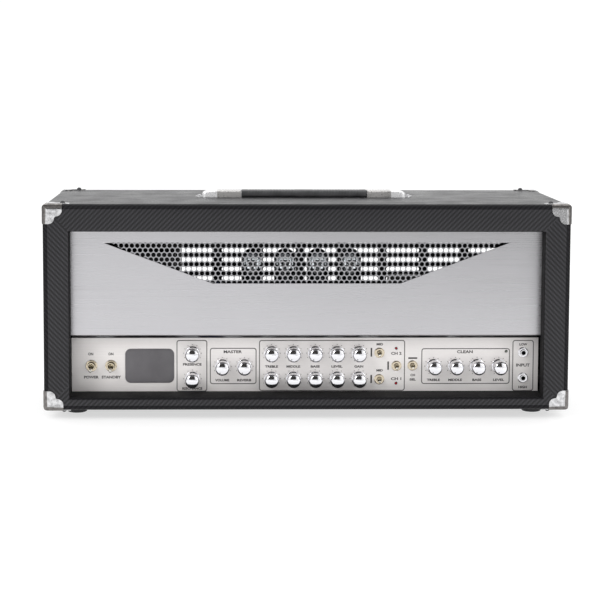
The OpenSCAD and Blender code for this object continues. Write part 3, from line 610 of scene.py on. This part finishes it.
def knob_mesh():
    """Chrome knob: a thin rim at the panel, a straight skirt, a shallow dome and a pointer dot."""
    bm = bmesh.new()
    side, dome, dome_z, tip = 10.0, 22.0, 3.0, 25.0
    profile = [(3.2, 0.8), (7.0, 0.8), (10.3, 0.8)] + arc(10.3, 1.2, 0.4, -90, 0, 3)
    profile += arc(10.3, 2.0, 0.4, 0, 90, 3) + [(9.6, 2.6), (9.45, 3.0), (9.5, 3.6), (9.7, 4.0)]
    profile += [(9.85, 8.0), (side, 14.0), (side, 20.6)]
    # soft edge between the skirt and the face
    profile += [(side - 0.08, 21.3), (side - 0.3, 21.9), (side - 0.65, 22.4), (side - 1.1, 22.85)]
    profile += [(dome * math.sin(math.radians(a)), dome_z + dome * math.cos(math.radians(a)))
                for a in range(22, 0, -2)]
    profile += [(0, tip)]
    lathe(bm, profile, 72)
    # hollow back, down to the shaft
    lathe(bm, [(3.2, 0.8), (3.2, 12.0), (0, 12.0)], 72)
    bmesh.ops.remove_doubles(bm, verts=bm.verts, dist=1e-6)
    # pointer dot, set in the face
    reach, angle = 6.6, math.radians(240)
    tilt = math.asin(reach / dome)
    place = (Matrix.Rotation(angle, 4, "Z")
             @ Matrix.Translation(mm(reach, 0, dome_z + dome * math.cos(tilt)))
             @ Matrix.Rotation(tilt, 4, "Y"))
    lathe(bm, [(0, -0.8), (0.9, -0.8), (0.9, -0.05), (0.75, 0.06), (0, 0.12)], 24, place, material=1)
    return mesh_from("knob", bm)


def build_knobs():
    mesh = knob_mesh()
    for name in KNOBS:
        knob = piece(name + "_dome", mesh, (KNOB_CHROME, INK), BODY_OF[name],
                     facing_front(*pivot_of(name)))
        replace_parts(knob, name)


# Two sizes of toggle switch: bushing and bore radius, their length, the lever's reach, the radius
# to the nut's corners, half the body's width and height, and its depth (mm)
LARGE = dict(bush=5.9, bore=4.2, length=8.0, lever=22.0, nut=8.1, body=(8, 13), deep=26)
SMALL = dict(bush=3.9, bore=2.9, length=6.0, lever=12.5, nut=7.0, body=(6.3, 6.3), deep=18)
LEVER_TILT = math.radians(12)
CHASSIS_SHEET = 1.5


def size_of(name):
    low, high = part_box(name)
    return LARGE if high[0] - low[0] > 7 * MM else SMALL


def lever_mesh(size):
    """Bat lever: a neck that swells to a round tip."""
    bm = bmesh.new()
    ball, neck, tip = size["bore"] - 0.12, size["bore"] * 0.38, size["bore"] * 0.60
    top = size["lever"]
    profile = [(0, -ball * 0.6)] + arc(0, 0, ball, -36, 50, 10)
    profile += [(neck, ball * 0.95), (neck * 1.02, ball + 1.2)]
    for i in range(1, 9):
        t = i / 8
        ease = t * t * (3 - 2 * t)
        profile.append((neck + (tip - neck) * ease, ball + 1.2 + (top - tip - ball - 1.2) * t))
    profile += arc(0, top - tip, tip, 0, 90, 8)[1:]
    profile[-1] = (0, top)
    lathe(bm, profile, 32)
    return mesh_from("bat_lever", bm)


def build_levers():
    meshes = {id(s): lever_mesh(s) for s in (LARGE, SMALL)}
    for name in TOGGLES:
        place = facing_front(*pivot_of(name)) @ Matrix.Rotation(LEVER_TILT, 4, "X")
        lever = piece(name + "_lever", meshes[id(size_of(name))], LEVER,
                      BODY_OF[name], place)
        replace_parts(lever, name)


def threaded(outer, bore, low, high, pitch=0.7):
    """Profile of a threaded bushing with a plain bore."""
    root = outer - 0.28
    profile = [(bore, low), (root, low)]
    z = low
    while z + pitch < high - 0.5:
        profile += [(root, z + pitch * 0.2), (outer, z + pitch * 0.55), (root, z + pitch)]
        z += pitch
    return profile + [(root, high - 0.4), (root - 0.3, high), (bore, high), (bore, low)]


def hex_nut(bm, corner, bore, low, high, place, turn=0.0):
    """Hexagon nut with round chamfers, over a flat washer; corner is the radius to its corners."""
    seat = low + 0.6
    washer = [(bore, low), (corner * 1.06, low), (corner * 1.06, low + 0.45), (corner, seat),
              (bore, seat), (bore, low)]
    lathe(bm, washer, 48, place)
    steps, side = 36, math.pi / 3
    rings = []
    for z, limit in ((seat, 1.02), (high - 0.5, 1.02), (high, 0.9)):
        points = []
        for i in range(steps):
            a = 2 * math.pi * i / steps
            reach = math.cos(side / 2) / math.cos(a % side - side / 2)
            reach = corner * min(reach, limit)
            points.append((reach * math.cos(a + turn), reach * math.sin(a + turn)))
        rings.append(ring(bm, points, z, place))
    inner = [ring(bm, circle_outline(0, 0, bore, steps, turn), z, place) for z in (seat, high)]
    bridge(bm, [inner[0]] + rings + [inner[1], inner[0]], closed=False)


def build_switch_hardware():
    """Bushings, nuts and bodies of the toggle switches."""
    bm, bodies = bmesh.new(), bmesh.new()
    wall = (box_of("chassis")[0].y - PANEL_FACE) / MM + CHASSIS_SHEET
    for k, name in enumerate(TOGGLES):
        size = size_of(name)
        place = facing_front(*pivot_of(name))
        lathe(bm, threaded(size["bush"], size["bore"], -wall, size["length"]), 48, place)
        hex_nut(bm, size["nut"], size["bush"] + 0.05, 0.0, 2.6, place, 0.3 + 0.21 * k)
        half_x, half_z = size["body"]
        front = pivot_of(name) + mm(0, wall, 0)
        rounded_box(bodies, front - mm(half_x, 0, half_z), front + mm(half_x, size["deep"], half_z),
                    0.8 * MM)
    stand_in("toggle_bushings", bm, NICKEL, "toggle_bodies")
    stand_in("toggle_cases", bodies, PLASTIC, "toggle_bodies")


def jack_places():
    """(place, wall in mm) of every quarter-inch jack, from the record's bores."""
    found = []
    for mount in frame["record"]["mounts"]:
        if mount["kind"] != "bore":
            continue
        x, z = mount["pos_m"][0], mount["pos_m"][2]
        front = mount["axis"][1] < 0
        place = facing_front(x, PANEL_FACE, z) if front else facing_back(x, REAR_FACE, z)
        found.append((place, 3.5 if front else CHASSIS_SHEET))
    return found


def build_jacks():
    shells, metal = bmesh.new(), bmesh.new()
    for k, (place, wall) in enumerate(jack_places()):
        lathe(metal, threaded(4.75, 3.25, -wall - 1, 5.5, 0.8), 48, place)
        hex_nut(metal, 7.0, 4.8, 0.0, 3.0, place, 0.2 + 0.37 * k)
        # moulded body with the bore running on inside it
        bore = [(3.25, -wall - 0.2), (5.2, -wall - 0.2), (5.2, -wall - 1.0), (7.6, -wall - 1.2),
                (7.8, -wall - 1.6), (7.8, -wall - 27.5), (7.2, -wall - 28.3), (0, -wall - 28.3)]
        lathe(shells, bore + [(0, -26.5), (3.25, -26.5), (3.25, -wall - 0.2)], 40, place)
    stand_in("jack_shells", shells, PLASTIC, "jack_sockets")
    stand_in("jack_collars", metal, CHROME, "jack_sockets")


def build_nuts():
    """Nuts under the knobs and round the selector; the other nuts go with their switches."""
    bm = bmesh.new()
    for name in KNOBS:
        hex_nut(bm, 5.7, 3.56, 0.0, 2.5, facing_front(*pivot_of(name)))
    selector = pivot_of("selector_knob")
    hex_nut(bm, 7.0, 5.1, 0.0, 2.9, facing_back(selector.x, REAR_FACE, selector.z))
    stand_in("control_nuts", bm, NICKEL, "panel_nuts")


# ---- panel print


LINE = 1.35
INK_LIFT = 0.06
# Scale dots round each knob: how many, their ring, the first one's angle and the sweep (degrees)
SCALE_DOTS, SCALE_RADIUS, SCALE_START, SCALE_SWEEP = 11, 12.8, 240, 300
# Boxes printed round groups of controls: left, right, bottom, top (mm)
PRINT_BOXES = [
    (-187.6, -143.0, 31.6, 107.4), (-139.2, -71.4, 42.4, 95.7), (-67.8, 144.9, 32.2, 107.2),
    (168.8, 298.2, 42.2, 94.9), (301.8, 333.0, 31.6, 106.9),
]
# Short bars beside the small switches: centre x, centre z, width, height (mm)
PRINT_BARS = [
    (95.8, 89.0, 2.3, 12.8), (95.8, 49.6, 2.3, 12.2), (120.4, 69.3, 2.3, 12.4),
    (156.2, 80.4, 13.2, 2.3),
]
# Plain function words: text, centre x, centre z, width, letter height (mm)
WORDS = [
    ("ON", -312.0, 86.9, 7.4, 3.8), ("ON", -282.7, 86.9, 7.4, 3.8),
    ("POWER", -311.2, 52.9, 21.2, 3.8), ("STANDBY", -282.3, 52.9, 28.0, 3.8),
    ("PRESENCE", -164.8, 71.5, 27.0, 3.5), ("RESONANCE", -164.8, 36.0, 29.0, 3.5),
    ("MASTER", -105.9, 90.0, 26.6, 4.0),
    ("VOLUME", -121.3, 48.2, 20.6, 3.3), ("REVERB", -89.3, 48.2, 20.6, 3.3),
    ("CH 2", 132.2, 87.4, 15.2, 3.9), ("CH 1", 132.2, 50.0, 15.2, 3.9),
    ("MID", 108.0, 100.8, 9.4, 3.2), ("MID", 108.0, 62.4, 9.4, 3.2),
    ("CH", 156.4, 55.4, 6.8, 3.2), ("SEL", 156.4, 48.9, 9.2, 3.2),
    ("CLEAN", 232.3, 89.7, 23.0, 4.2),
    ("LOW", 317.5, 100.5, 11.4, 3.3), ("INPUT", 317.5, 69.9, 20.0, 4.3),
    ("HIGH", 317.5, 37.4, 12.4, 3.3),
]
# Widths of the words repeated under rows of knobs (mm)
KNOB_WORD_WIDTH = {"TREBLE": 19.0, "MIDDLE": 20.0, "BASS": 13.2, "LEVEL": 16.2, "GAIN": 13.0}
# Heights of the words under the rows of knobs that have them (mm)
ROW_WORD_Z = {"lead_one": 68.2, "clean": 48.2}


def word_mesh(text, width, height):
    """Bold flat letters as a thin solid, centred on the origin; in metres."""
    curve = bpy.data.curves.new("letters", "FONT")
    curve.body = text
    curve.size = height / 0.72 * MM
    curve.align_x = "CENTER"
    curve.align_y = "CENTER"
    curve.offset = 0.2 * MM
    curve.extrude = INK_LIFT / 2 * MM
    curve.resolution_u = 3
    obj = new_object("letters", curve)
    bpy.context.view_layer.update()
    graph = bpy.context.evaluated_depsgraph_get()
    mesh = bpy.data.meshes.new_from_object(obj.evaluated_get(graph))
    bpy.data.objects.remove(obj)
    bpy.data.curves.remove(curve)
    xs = [v.co.x for v in mesh.vertices]
    ys = [v.co.y for v in mesh.vertices]
    mesh.transform(Matrix.Diagonal((width * MM / (max(xs) - min(xs)), 1, 1, 1))
                   @ Matrix.Translation((-(max(xs) + min(xs)) / 2, -(max(ys) + min(ys)) / 2, 0)))
    return mesh


def build_print():
    face = facing_front(0, PANEL_FACE, 0)
    lines = bmesh.new()
    for left, right, bottom, top in PRINT_BOXES:
        cx, cz, w, h = (left + right) / 2, (bottom + top) / 2, right - left, top - bottom
        slab(lines, round_outline(cx, cz, w, h, 4.0), 0, INK_LIFT, face,
             hole=round_outline(cx, cz, w - 2 * LINE, h - 2 * LINE, 2.8))
    for name in KNOBS:
        pivot = pivot_of(name) / MM
        for i in range(SCALE_DOTS):
            a = math.radians(SCALE_START - SCALE_SWEEP * i / (SCALE_DOTS - 1))
            x, z = pivot.x + SCALE_RADIUS * math.cos(a), pivot.z + SCALE_RADIUS * math.sin(a)
            slab(lines, circle_outline(x, z, 0.6, 12), 0, INK_LIFT, face)
    piece("panel_lines", mesh_from("panel_lines", lines), GREY_INK)
    words = list(WORDS)
    for name in KNOBS:
        word = name.rsplit("_", 1)[1].upper()
        for row, z in ROW_WORD_Z.items():
            if row in name:
                words.append((word, pivot_of(name).x / MM, z, KNOB_WORD_WIDTH[word], 3.3))
    bm = bmesh.new()
    for cx, cz, w, h in PRINT_BARS:
        slab(bm, round_outline(cx, cz, w, h, 0.5, 3), 0, INK_LIFT, face)
    for text, x, z, width, height in words:
        mesh = word_mesh(text, width, height)
        mesh.transform(facing_front(x * MM, PANEL_FACE - INK_LIFT / 2 * MM, z * MM))
        bm.from_mesh(mesh)
        bpy.data.meshes.remove(mesh)
    bmesh.ops.remove_doubles(bm, verts=bm.verts, dist=1e-7)
    piece("panel_words", mesh_from("panel_words", bm), INK)


def build_lamps():
    """Small domed lamp lenses in thin collars; the one over the clean controls is unlit."""
    low, high = box_of("indicator_lamps")
    red, idle, collars = bmesh.new(), bmesh.new(), bmesh.new()
    # the idle lamp sits a little lower than the upper red one
    r, idle_drop = 1.6, 4.4
    places = [(low.x / MM + r, high.z / MM - r), (low.x / MM + r, low.z / MM + r),
              (high.x / MM - r, high.z / MM - r - idle_drop)]
    for k, (x, z) in enumerate(places):
        place = facing_front(x * MM, PANEL_FACE, z * MM)
        dome = [(0, 0.0), (1.45, 0.0), (1.45, 0.5)] + arc(0, 0.5, 1.45, 15, 90, 5)
        dome[-1] = (0, 1.95)
        lathe(idle if k == 2 else red, dome, 24, place)
        lathe(collars, [(1.5, 0.0), (2.1, 0.0), (2.1, 0.25), (1.9, 0.45), (1.5, 0.45), (1.5, 0.0)],
              28, place)
    for name, bm, material in (("lamps_red", red, LENS), ("lamp_idle", idle, IDLE_LENS),
                               ("lamp_collars", collars, PLASTIC)):
        stand_in(name, bm, material, "indicator_lamps")


def build_badge():
    """Blank satin plate with a soft edge and a fine border line."""
    low, high = box_of("blank_badge")
    centre = (low + high) / 2 / MM
    w, h = (high.x - low.x) / MM, (high.z - low.z) / MM
    thick = (high.y - low.y) / MM
    place = facing_front(0, high.y, 0)
    bm = bmesh.new()
    rings = []
    for inset, lift in ((0, 0), (0, thick - 0.4), (0.12, thick - 0.12), (0.4, thick),
                        (2.2, thick), (2.3, thick - 0.12), (2.7, thick - 0.12), (2.8, thick)):
        points = round_outline(centre.x, centre.z, w - 2 * inset, h - 2 * inset, 8 - inset, 8)
        rings.append(ring(bm, points, lift, place))
    bridge(bm, rings)
    stand_in("badge_plate", bm, BADGE, "blank_badge")


# ---- handle


def cap_sections(inner, outer, height, half):
    """Cross-sections of a handle cap from its open end outwards: x, height, half width (mm)."""
    sections = [(inner, height - 0.3, half - 0.3), (inner + 0.4, height, half)]
    # fine ribs pressed across the inner part
    for x in range(int(inner) + 4, int(outer) - 28, 4):
        sections += [(x, height, half), (x + 0.5, height - 0.5, half), (x + 1.3, height - 0.5, half),
                     (x + 1.8, height, half)]
    # the smooth end, rounded off: how far in from the end, how much lower and how much narrower
    for back, drop, narrow in ((27, 0, 0), (22, 0, 0), (13, 0.45, 0), (6, 1.1, 0), (3.4, 1.9, 0.3),
                               (1.6, 3.0, 1.0), (0.5, 4.0, 1.9), (0, 5.0, 2.8)):
        sections.append((outer - back, height - drop, half - narrow))
    return sections


def build_handle_caps():
    """Two pressed caps, hollow at the inner end, each with a screw tongue."""
    low, high = box_of("handle_end_caps")
    caps, screws = bmesh.new(), bmesh.new()
    half_w, base, height = high.y / MM, low.z / MM, (high.z - low.z) / MM
    inner, outer, hollow_end = 94.0, 151.5, 126
    turns = [math.radians(a) for a in (15, 30, 45, 60, 75, 90)]
    for side in (-1, 1):
        rings = []
        for x, tall, half in cap_sections(inner, outer, height, half_w):
            r = min(2.6, tall * 0.5)
            points = [(-half, 0.0), (-half, tall - r)]
            points += [(-half + r - r * math.cos(t), tall - r + r * math.sin(t)) for t in turns]
            points += [(-p[0], p[1]) for p in reversed(points)]
            rings.append([caps.verts.new(mm(side * x, y, base + z)) for y, z in points])
        mouth = [(-12.0, 0.0), (-12.0, 7.0)]
        mouth += [(-10.5 - 1.5 * math.cos(t), 7.0 + 1.5 * math.sin(t)) for t in turns]
        mouth += [(-p[0], p[1]) for p in reversed(mouth)]
        hollow = [[caps.verts.new(mm(side * x, y, base + z)) for y, z in mouth]
                  for x in (inner, hollow_end)]
        rings = [hollow[1], hollow[0]] + rings
        bridge(caps, rings, closed=False)
        caps.faces.new(rings[0])
        caps.faces.new(rings[-1][::-1])
        tongue = [(outer - 2, -7), (outer + 3, -7)]
        tongue += [(outer + 3 + 7 * math.cos(math.radians(a)), 7 * math.sin(math.radians(a)))
                   for a in range(-80, 81, 16)]
        tongue += [(outer + 3, 7), (outer - 2, 7)]
        slab(caps, [(side * x, y) for x, y in tongue], base, base + 1.5)
        place = Matrix.Translation(mm(side * (outer + 4.5), 0, base + 1.4))
        dome = [(3.3, 0.0), (3.2, 0.5), (2.7, 1.2), (1.9, 1.75), (1.1, 2.0), (0.9, 1.2), (0, 1.0)]
        lathe(screws, [(0, -0.2), (3.3, -0.2)] + dome, 28, place)
    for face in caps.faces:
        if abs(face.calc_center_median().x) < (outer - 24) * MM:
            face.material_index = 1
    stand_in("handle_caps", caps, (CAP, CAP_INNER), "handle_end_caps")
    stand_in("handle_screw_heads", screws, ZINC, "handle_end_caps")


def bowed(name, sections, material, side, node):
    """One half of a sweep along X, from (x, [(y, z), ...]) sections in mm."""
    bm = bmesh.new()
    rings = [[bm.verts.new(mm(side * x, y, z)) for y, z in points] for x, points in sections]
    bridge(bm, rings, closed=False)
    bm.faces.new(rings[0])
    bm.faces.new(rings[-1][::-1])
    mesh = mesh_from(name, bm, math.radians(50))
    mesh.materials.append(material)
    obj = new_object(name, mesh)
    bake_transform(obj)
    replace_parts(obj, node)


def build_grip():
    """Ribbed rubber grip over a spring-steel strap, each as two halves that meet in the middle."""
    low, high = box_of("handle_grip")
    height, half, end = (high.z - low.z) / MM, high.y / MM, high.x / MM
    strap_low, strap_high = box_of("handle_strap")
    for side, label in ((-1, "left"), (1, "right")):
        sections = []
        count, r = 62, 3.6
        for k in range(count + 1):
            x = end * k / count
            groove = 0.35 if 14 < x < end - 8 and k % 3 == 1 else 0.0
            points = []
            for q, (sy, sz) in enumerate(((1, 1), (-1, 1), (-1, -1), (1, -1))):
                for i in range(5):
                    a = math.radians(90 * q + 22.5 * i)
                    y = sy * (half - groove - r) + r * math.cos(a)
                    z = height / 2 + sz * (height / 2 - groove - r) + r * math.sin(a)
                    points.append((y, low.z / MM + z))
            sections.append((x, points))
        bowed("grip_" + label, sections, GRIP, side, "handle_grip")
        y, z0, z1 = strap_high.y / MM, strap_low.z / MM, strap_high.z / MM
        band = [(-y, z0), (y, z0), (y, z1), (-y, z1)]
        strap_end = strap_high.x / MM
        sections = [(strap_end * k / 40, band) for k in range(41)]
        bowed("strap_" + label, sections, SPRING, side, "handle_strap")


# ---- valves and iron


def build_valves():
    """Four power valves: glass envelope, dark base, and the anode inside."""
    low, high = box_of("power_tubes")
    y = (low.y + high.y) / 2
    base_z, top_z = low.z / MM, high.z / MM
    base_r = 17
    xs = [low.x + base_r * MM + i * (high.x - low.x - 2 * base_r * MM) / 3 for i in range(4)]
    glass, bases, inside = bmesh.new(), bmesh.new(), bmesh.new()
    for x in xs:
        place = Matrix.Translation((x, y, 0))
        skirt = base_z + 17
        outer = [(15.0, skirt), (16.4, skirt + 3), (16.5, skirt + 8), (16.5, top_z - 22)]
        outer += [(16.5 * math.cos(t), top_z - 22 + 16 * math.sin(t)) for t in
                  [math.radians(a) for a in (15, 30, 45, 60, 72)]]
        outer += [(3.4, top_z - 5.2), (2.6, top_z - 2.5), (1.4, top_z - 0.6), (0, top_z)]
        inner = [(max(r - 1.1, 0), z - 0.8) for r, z in outer[:-4]] + [(0, top_z - 7.6)]
        lathe(glass, outer, 48, place)
        lathe(glass, list(reversed(inner)) + [(15.0, skirt)], 48, place)
        lathe(bases, [(0, base_z), (16.4, base_z), (base_r, base_z + 0.6), (base_r, skirt - 1.5),
                      (16.4, skirt), (0, skirt)], 48, place)
        # the anode on its stem, with a spacer disc above it
        anode = [(0, 2), (1.4, 2), (1.4, 18), (9, 18), (9.4, 19), (9.4, 69), (9, 70), (1.2, 70),
                 (1.2, 74), (11, 74.2), (11, 75), (0, 75)]
        lathe(inside, [(r, skirt + z) for r, z in anode], 40, place)
        for fin in (0, math.pi):
            turn = place @ Matrix.Rotation(fin, 4, "Z")
            slab(inside, [(9, -0.5), (13, -0.5), (13, 0.5), (9, 0.5)], skirt + 20, skirt + 68, turn)
    stand_in("valve_envelopes", glass, GLASS, "power_tubes")
    stand_in("valve_bases", bases, BASE, "power_tubes")
    stand_in("valve_anodes", inside, ANODE, "power_tubes")


def build_iron(node, core_t, bell_w, bell_h, bell_t):
    """Laminated core with two pressed bells, bolts and feet; sizes in mm."""
    low, high = box_of(node)
    cx, cy = (low.x + high.x) / 2, (low.y + high.y) / 2
    core, bells = bmesh.new(), bmesh.new()
    half = core_t / 2 * MM
    rounded_box(core, Vector((low.x, cy - half, low.z)), Vector((high.x, cy + half, high.z)),
                0.6 * MM)
    bell_lift, foot_deep = 1.5 * MM, 8 * MM
    cz = (low.z + high.z) / 2 + bell_lift
    for side in (-1, 1):
        rings = []
        for inset, out in ((-2.5, 0), (-2.5, 1.5), (0, 1.6), (0, bell_t - 6), (1.2, bell_t - 3),
                           (3.5, bell_t - 0.8), (7, bell_t)):
            points = round_outline(0, 0, bell_w - 2 * inset, bell_h - 2 * inset, 9, 6)
            middle = Vector((cx, cy + side * (half + out * MM), cz))
            rings.append([bells.verts.new(middle + mm(p[0], 0, p[1])) for p in points])
        bridge(bells, rings)
        # mounting foot
        near, far = sorted((cy + side * half, cy + side * (half + foot_deep)))
        rounded_box(bells, Vector((low.x, near, low.z)), Vector((high.x, far, low.z + 3 * MM)),
                    0.5 * MM)
        # through-bolt heads at the core's corners
        for sx in (-1, 1):
            for sz in (low.z + 7 * MM, high.z - 7 * MM):
                x = cx + sx * ((high.x - low.x) / 2 - 6 * MM)
                place = (facing_back if side > 0 else facing_front)(x, cy + side * half, sz)
                lathe(bells, [(0, 0), (4, 0), (4, 2.2), (3.5, 2.8), (0, 2.8)], 6, place)
    stand_in(node + "_core", core, CORE, node)
    stand_in(node + "_bells", bells, BELL, node)


# ---- small trim


def build_corner_screws():
    """Black domed heads with a round recess in the middle."""
    low, high = box_of("corner_screws")
    bm = bmesh.new()
    inset, stand = 3.5 * MM, 3 * MM
    for x in (low.x + inset, high.x - inset):
        for y in (low.y + inset, high.y - inset):
            for z, flip in ((high.z - stand, 1), (low.z + stand, -1)):
                place = Matrix.Translation((x, y, z)) @ Matrix.Diagonal((1, 1, flip, 1))
                dome = [(3.5, 0), (3.45, 0.5), (3.1, 1.4), (2.4, 2.2), (1.6, 2.7), (1.2, 2.85),
                        (0.9, 2.0), (0, 1.6)]
                lathe(bm, [(0, -0.4), (3.3, -0.4)] + dome, 32, place)
    stand_in("corner_screw_heads", bm, BLACK_METAL, "corner_screws")


def build_feet():
    """Moulded rubber feet with a soft lower edge, a ribbed rim and a deep screw hole."""
    low, high = box_of("rubber_feet")
    bm = bmesh.new()
    r = 16 * MM
    for x in (low.x + r, high.x - r):
        for y in (low.y + r, high.y - r):
            place = Matrix.Translation((x, y, 0))
            outer = [(4.8, 7.0), (4.8, 0.8), (5.4, 0.1), (6.0, 0.0), (12.6, 0.0), (13.6, 0.4),
                     (14.1, 1.4), (14.5, 4.0), (14.9, 6.5), (14.6, 6.9), (14.9, 7.3), (15.4, 10.0),
                     (15.9, 13.0), (15.9, 14.0)]
            lathe(bm, [(0, 7.0)] + outer + [(0, 14.0)], 56, place)
    stand_in("moulded_feet", bm, RUBBER, "rubber_feet")


def dress_cad_nodes():
    """Smooth shading and a procedural material for every CAD node that stays in sight. A node
    that a piece stands for is hidden, and only takes chrome."""
    for name, obj in frame["nodes"].items():
        material = NODE_MATERIAL.get(name, CHROME)
        obj.data.materials.clear()
        obj.data.materials.append(material)
        if name == "corner_protectors":
            # the corners' rounded edges take the dark copy of the chrome: a painted reflection
            obj.data.materials.append(CORNER_EDGE_REFLECTION)
            for face in obj.data.polygons:
                face.material_index = int(sorted(abs(c) for c in face.normal)[1] > 0.25)
        smooth(obj.data, math.radians(25))


# ---- studio


def sheet(name, corners, material):
    """A flat sheet of the studio with four corners, in metres."""
    mesh = bpy.data.meshes.new(name)
    mesh.from_pydata(corners, [], [(0, 1, 2, 3)])
    mesh.materials.append(material)
    return new_object(name, mesh)


def build_studio():
    s = Shader("floor_paint", (0.4, 0.4, 0.4), 0.8, Emission_Color=(1.0, 1.0, 1.0, 1.0),
               Emission_Strength=0.62)
    s.bump(s.noise(s.place(), 300.0, 2.0), 0.02, 0.0001)
    reach = 8.0
    floor = sheet("studio_floor", [(-reach, -reach, 0), (reach, -reach, 0), (reach, reach, 0),
                                   (-reach, reach, 0)], s.mat)

    world = bpy.data.worlds.new("studio")
    bpy.context.scene.world = world
    world.use_nodes = True
    back = world.node_tree.nodes["Background"]
    back.inputs["Color"].default_value = (1.0, 1.0, 1.0, 1.0)
    back.inputs["Strength"].default_value = 1.04

    def soft_light(name, place, aim, size, power):
        data = bpy.data.lights.new(name, "AREA")
        data.shape = "RECTANGLE"
        data.size, data.size_y = size
        data.energy = power
        light = new_object(name, data)
        light.location = place
        light.rotation_euler = (Vector(aim) - Vector(place)).to_track_quat("-Z", "Y").to_euler()

    soft_light("key", (-1.7, -1.9, 1.7), (0, 0, 0.15), (0.8, 1.2), 26)
    soft_light("top", (0.2, 0.7, 2.6), (0, 0, 0.3), (2.4, 1.2), 21)
    soft_light("fill", (2.0, -1.7, 1.1), (0, 0, 0.15), (0.6, 1.2), 12)

    dark = Shader("card_black", (0.02, 0.02, 0.02), 0.9)
    dark.colour(dark.mix(dark.noise(dark.place(), 5.0), (0.012, 0.011, 0.010), (0.035, 0.032, 0.030)))

    def black_card(name, corners):
        """A card seen only in reflections, which gives polished metal its dark side."""
        card = sheet(name, corners, dark.mat)
        card.visible_camera = card.visible_diffuse = card.visible_shadow = False
        card.visible_transmission = card.visible_volume_scatter = False

    black_card("card_front", [(-1.5, -3.3, 0.34), (1.1, -3.3, 0.34), (0.9, -2.6, 2.6), (-1.3, -2.6, 2.6)])
    black_card("card_above", [(-1.3, -2.4, 2.7), (1.3, -2.4, 2.7), (1.6, -0.1, 2.9), (-1.6, -0.1, 2.9)])
    black_card("card_low", [(-0.15, -2.3, 0.004), (0.75, -1.35, 0.004), (2.0, -3.2, 0.004),
                            (0.1, -4.2, 0.004)])
    for side, name in ((-1, "card_left"), (1, "card_right")):
        black_card(name, [(side * 2.6, -0.7, 0.05), (side * 2.6, 1.6, 0.05), (side * 2.3, 1.6, 1.5),
                          (side * 2.3, -0.7, 1.5)])
    view = bpy.context.scene.view_settings
    view.view_transform = "Standard"
    view.look = "None"


# ---- build

build_studio()
dress_cad_nodes()
build_cabinet()
build_knobs()
build_levers()
build_switch_hardware()
build_jacks()
build_nuts()
build_print()
build_badge()
build_lamps()
build_handle_caps()
build_grip()
build_valves()
build_iron("power_transformer", 46, 88, 112, 28)
build_iron("output_transformer", 40, 72, 58, 20)
build_iron("choke", 26, 46, 34, 12)
build_corner_screws()
build_feet()
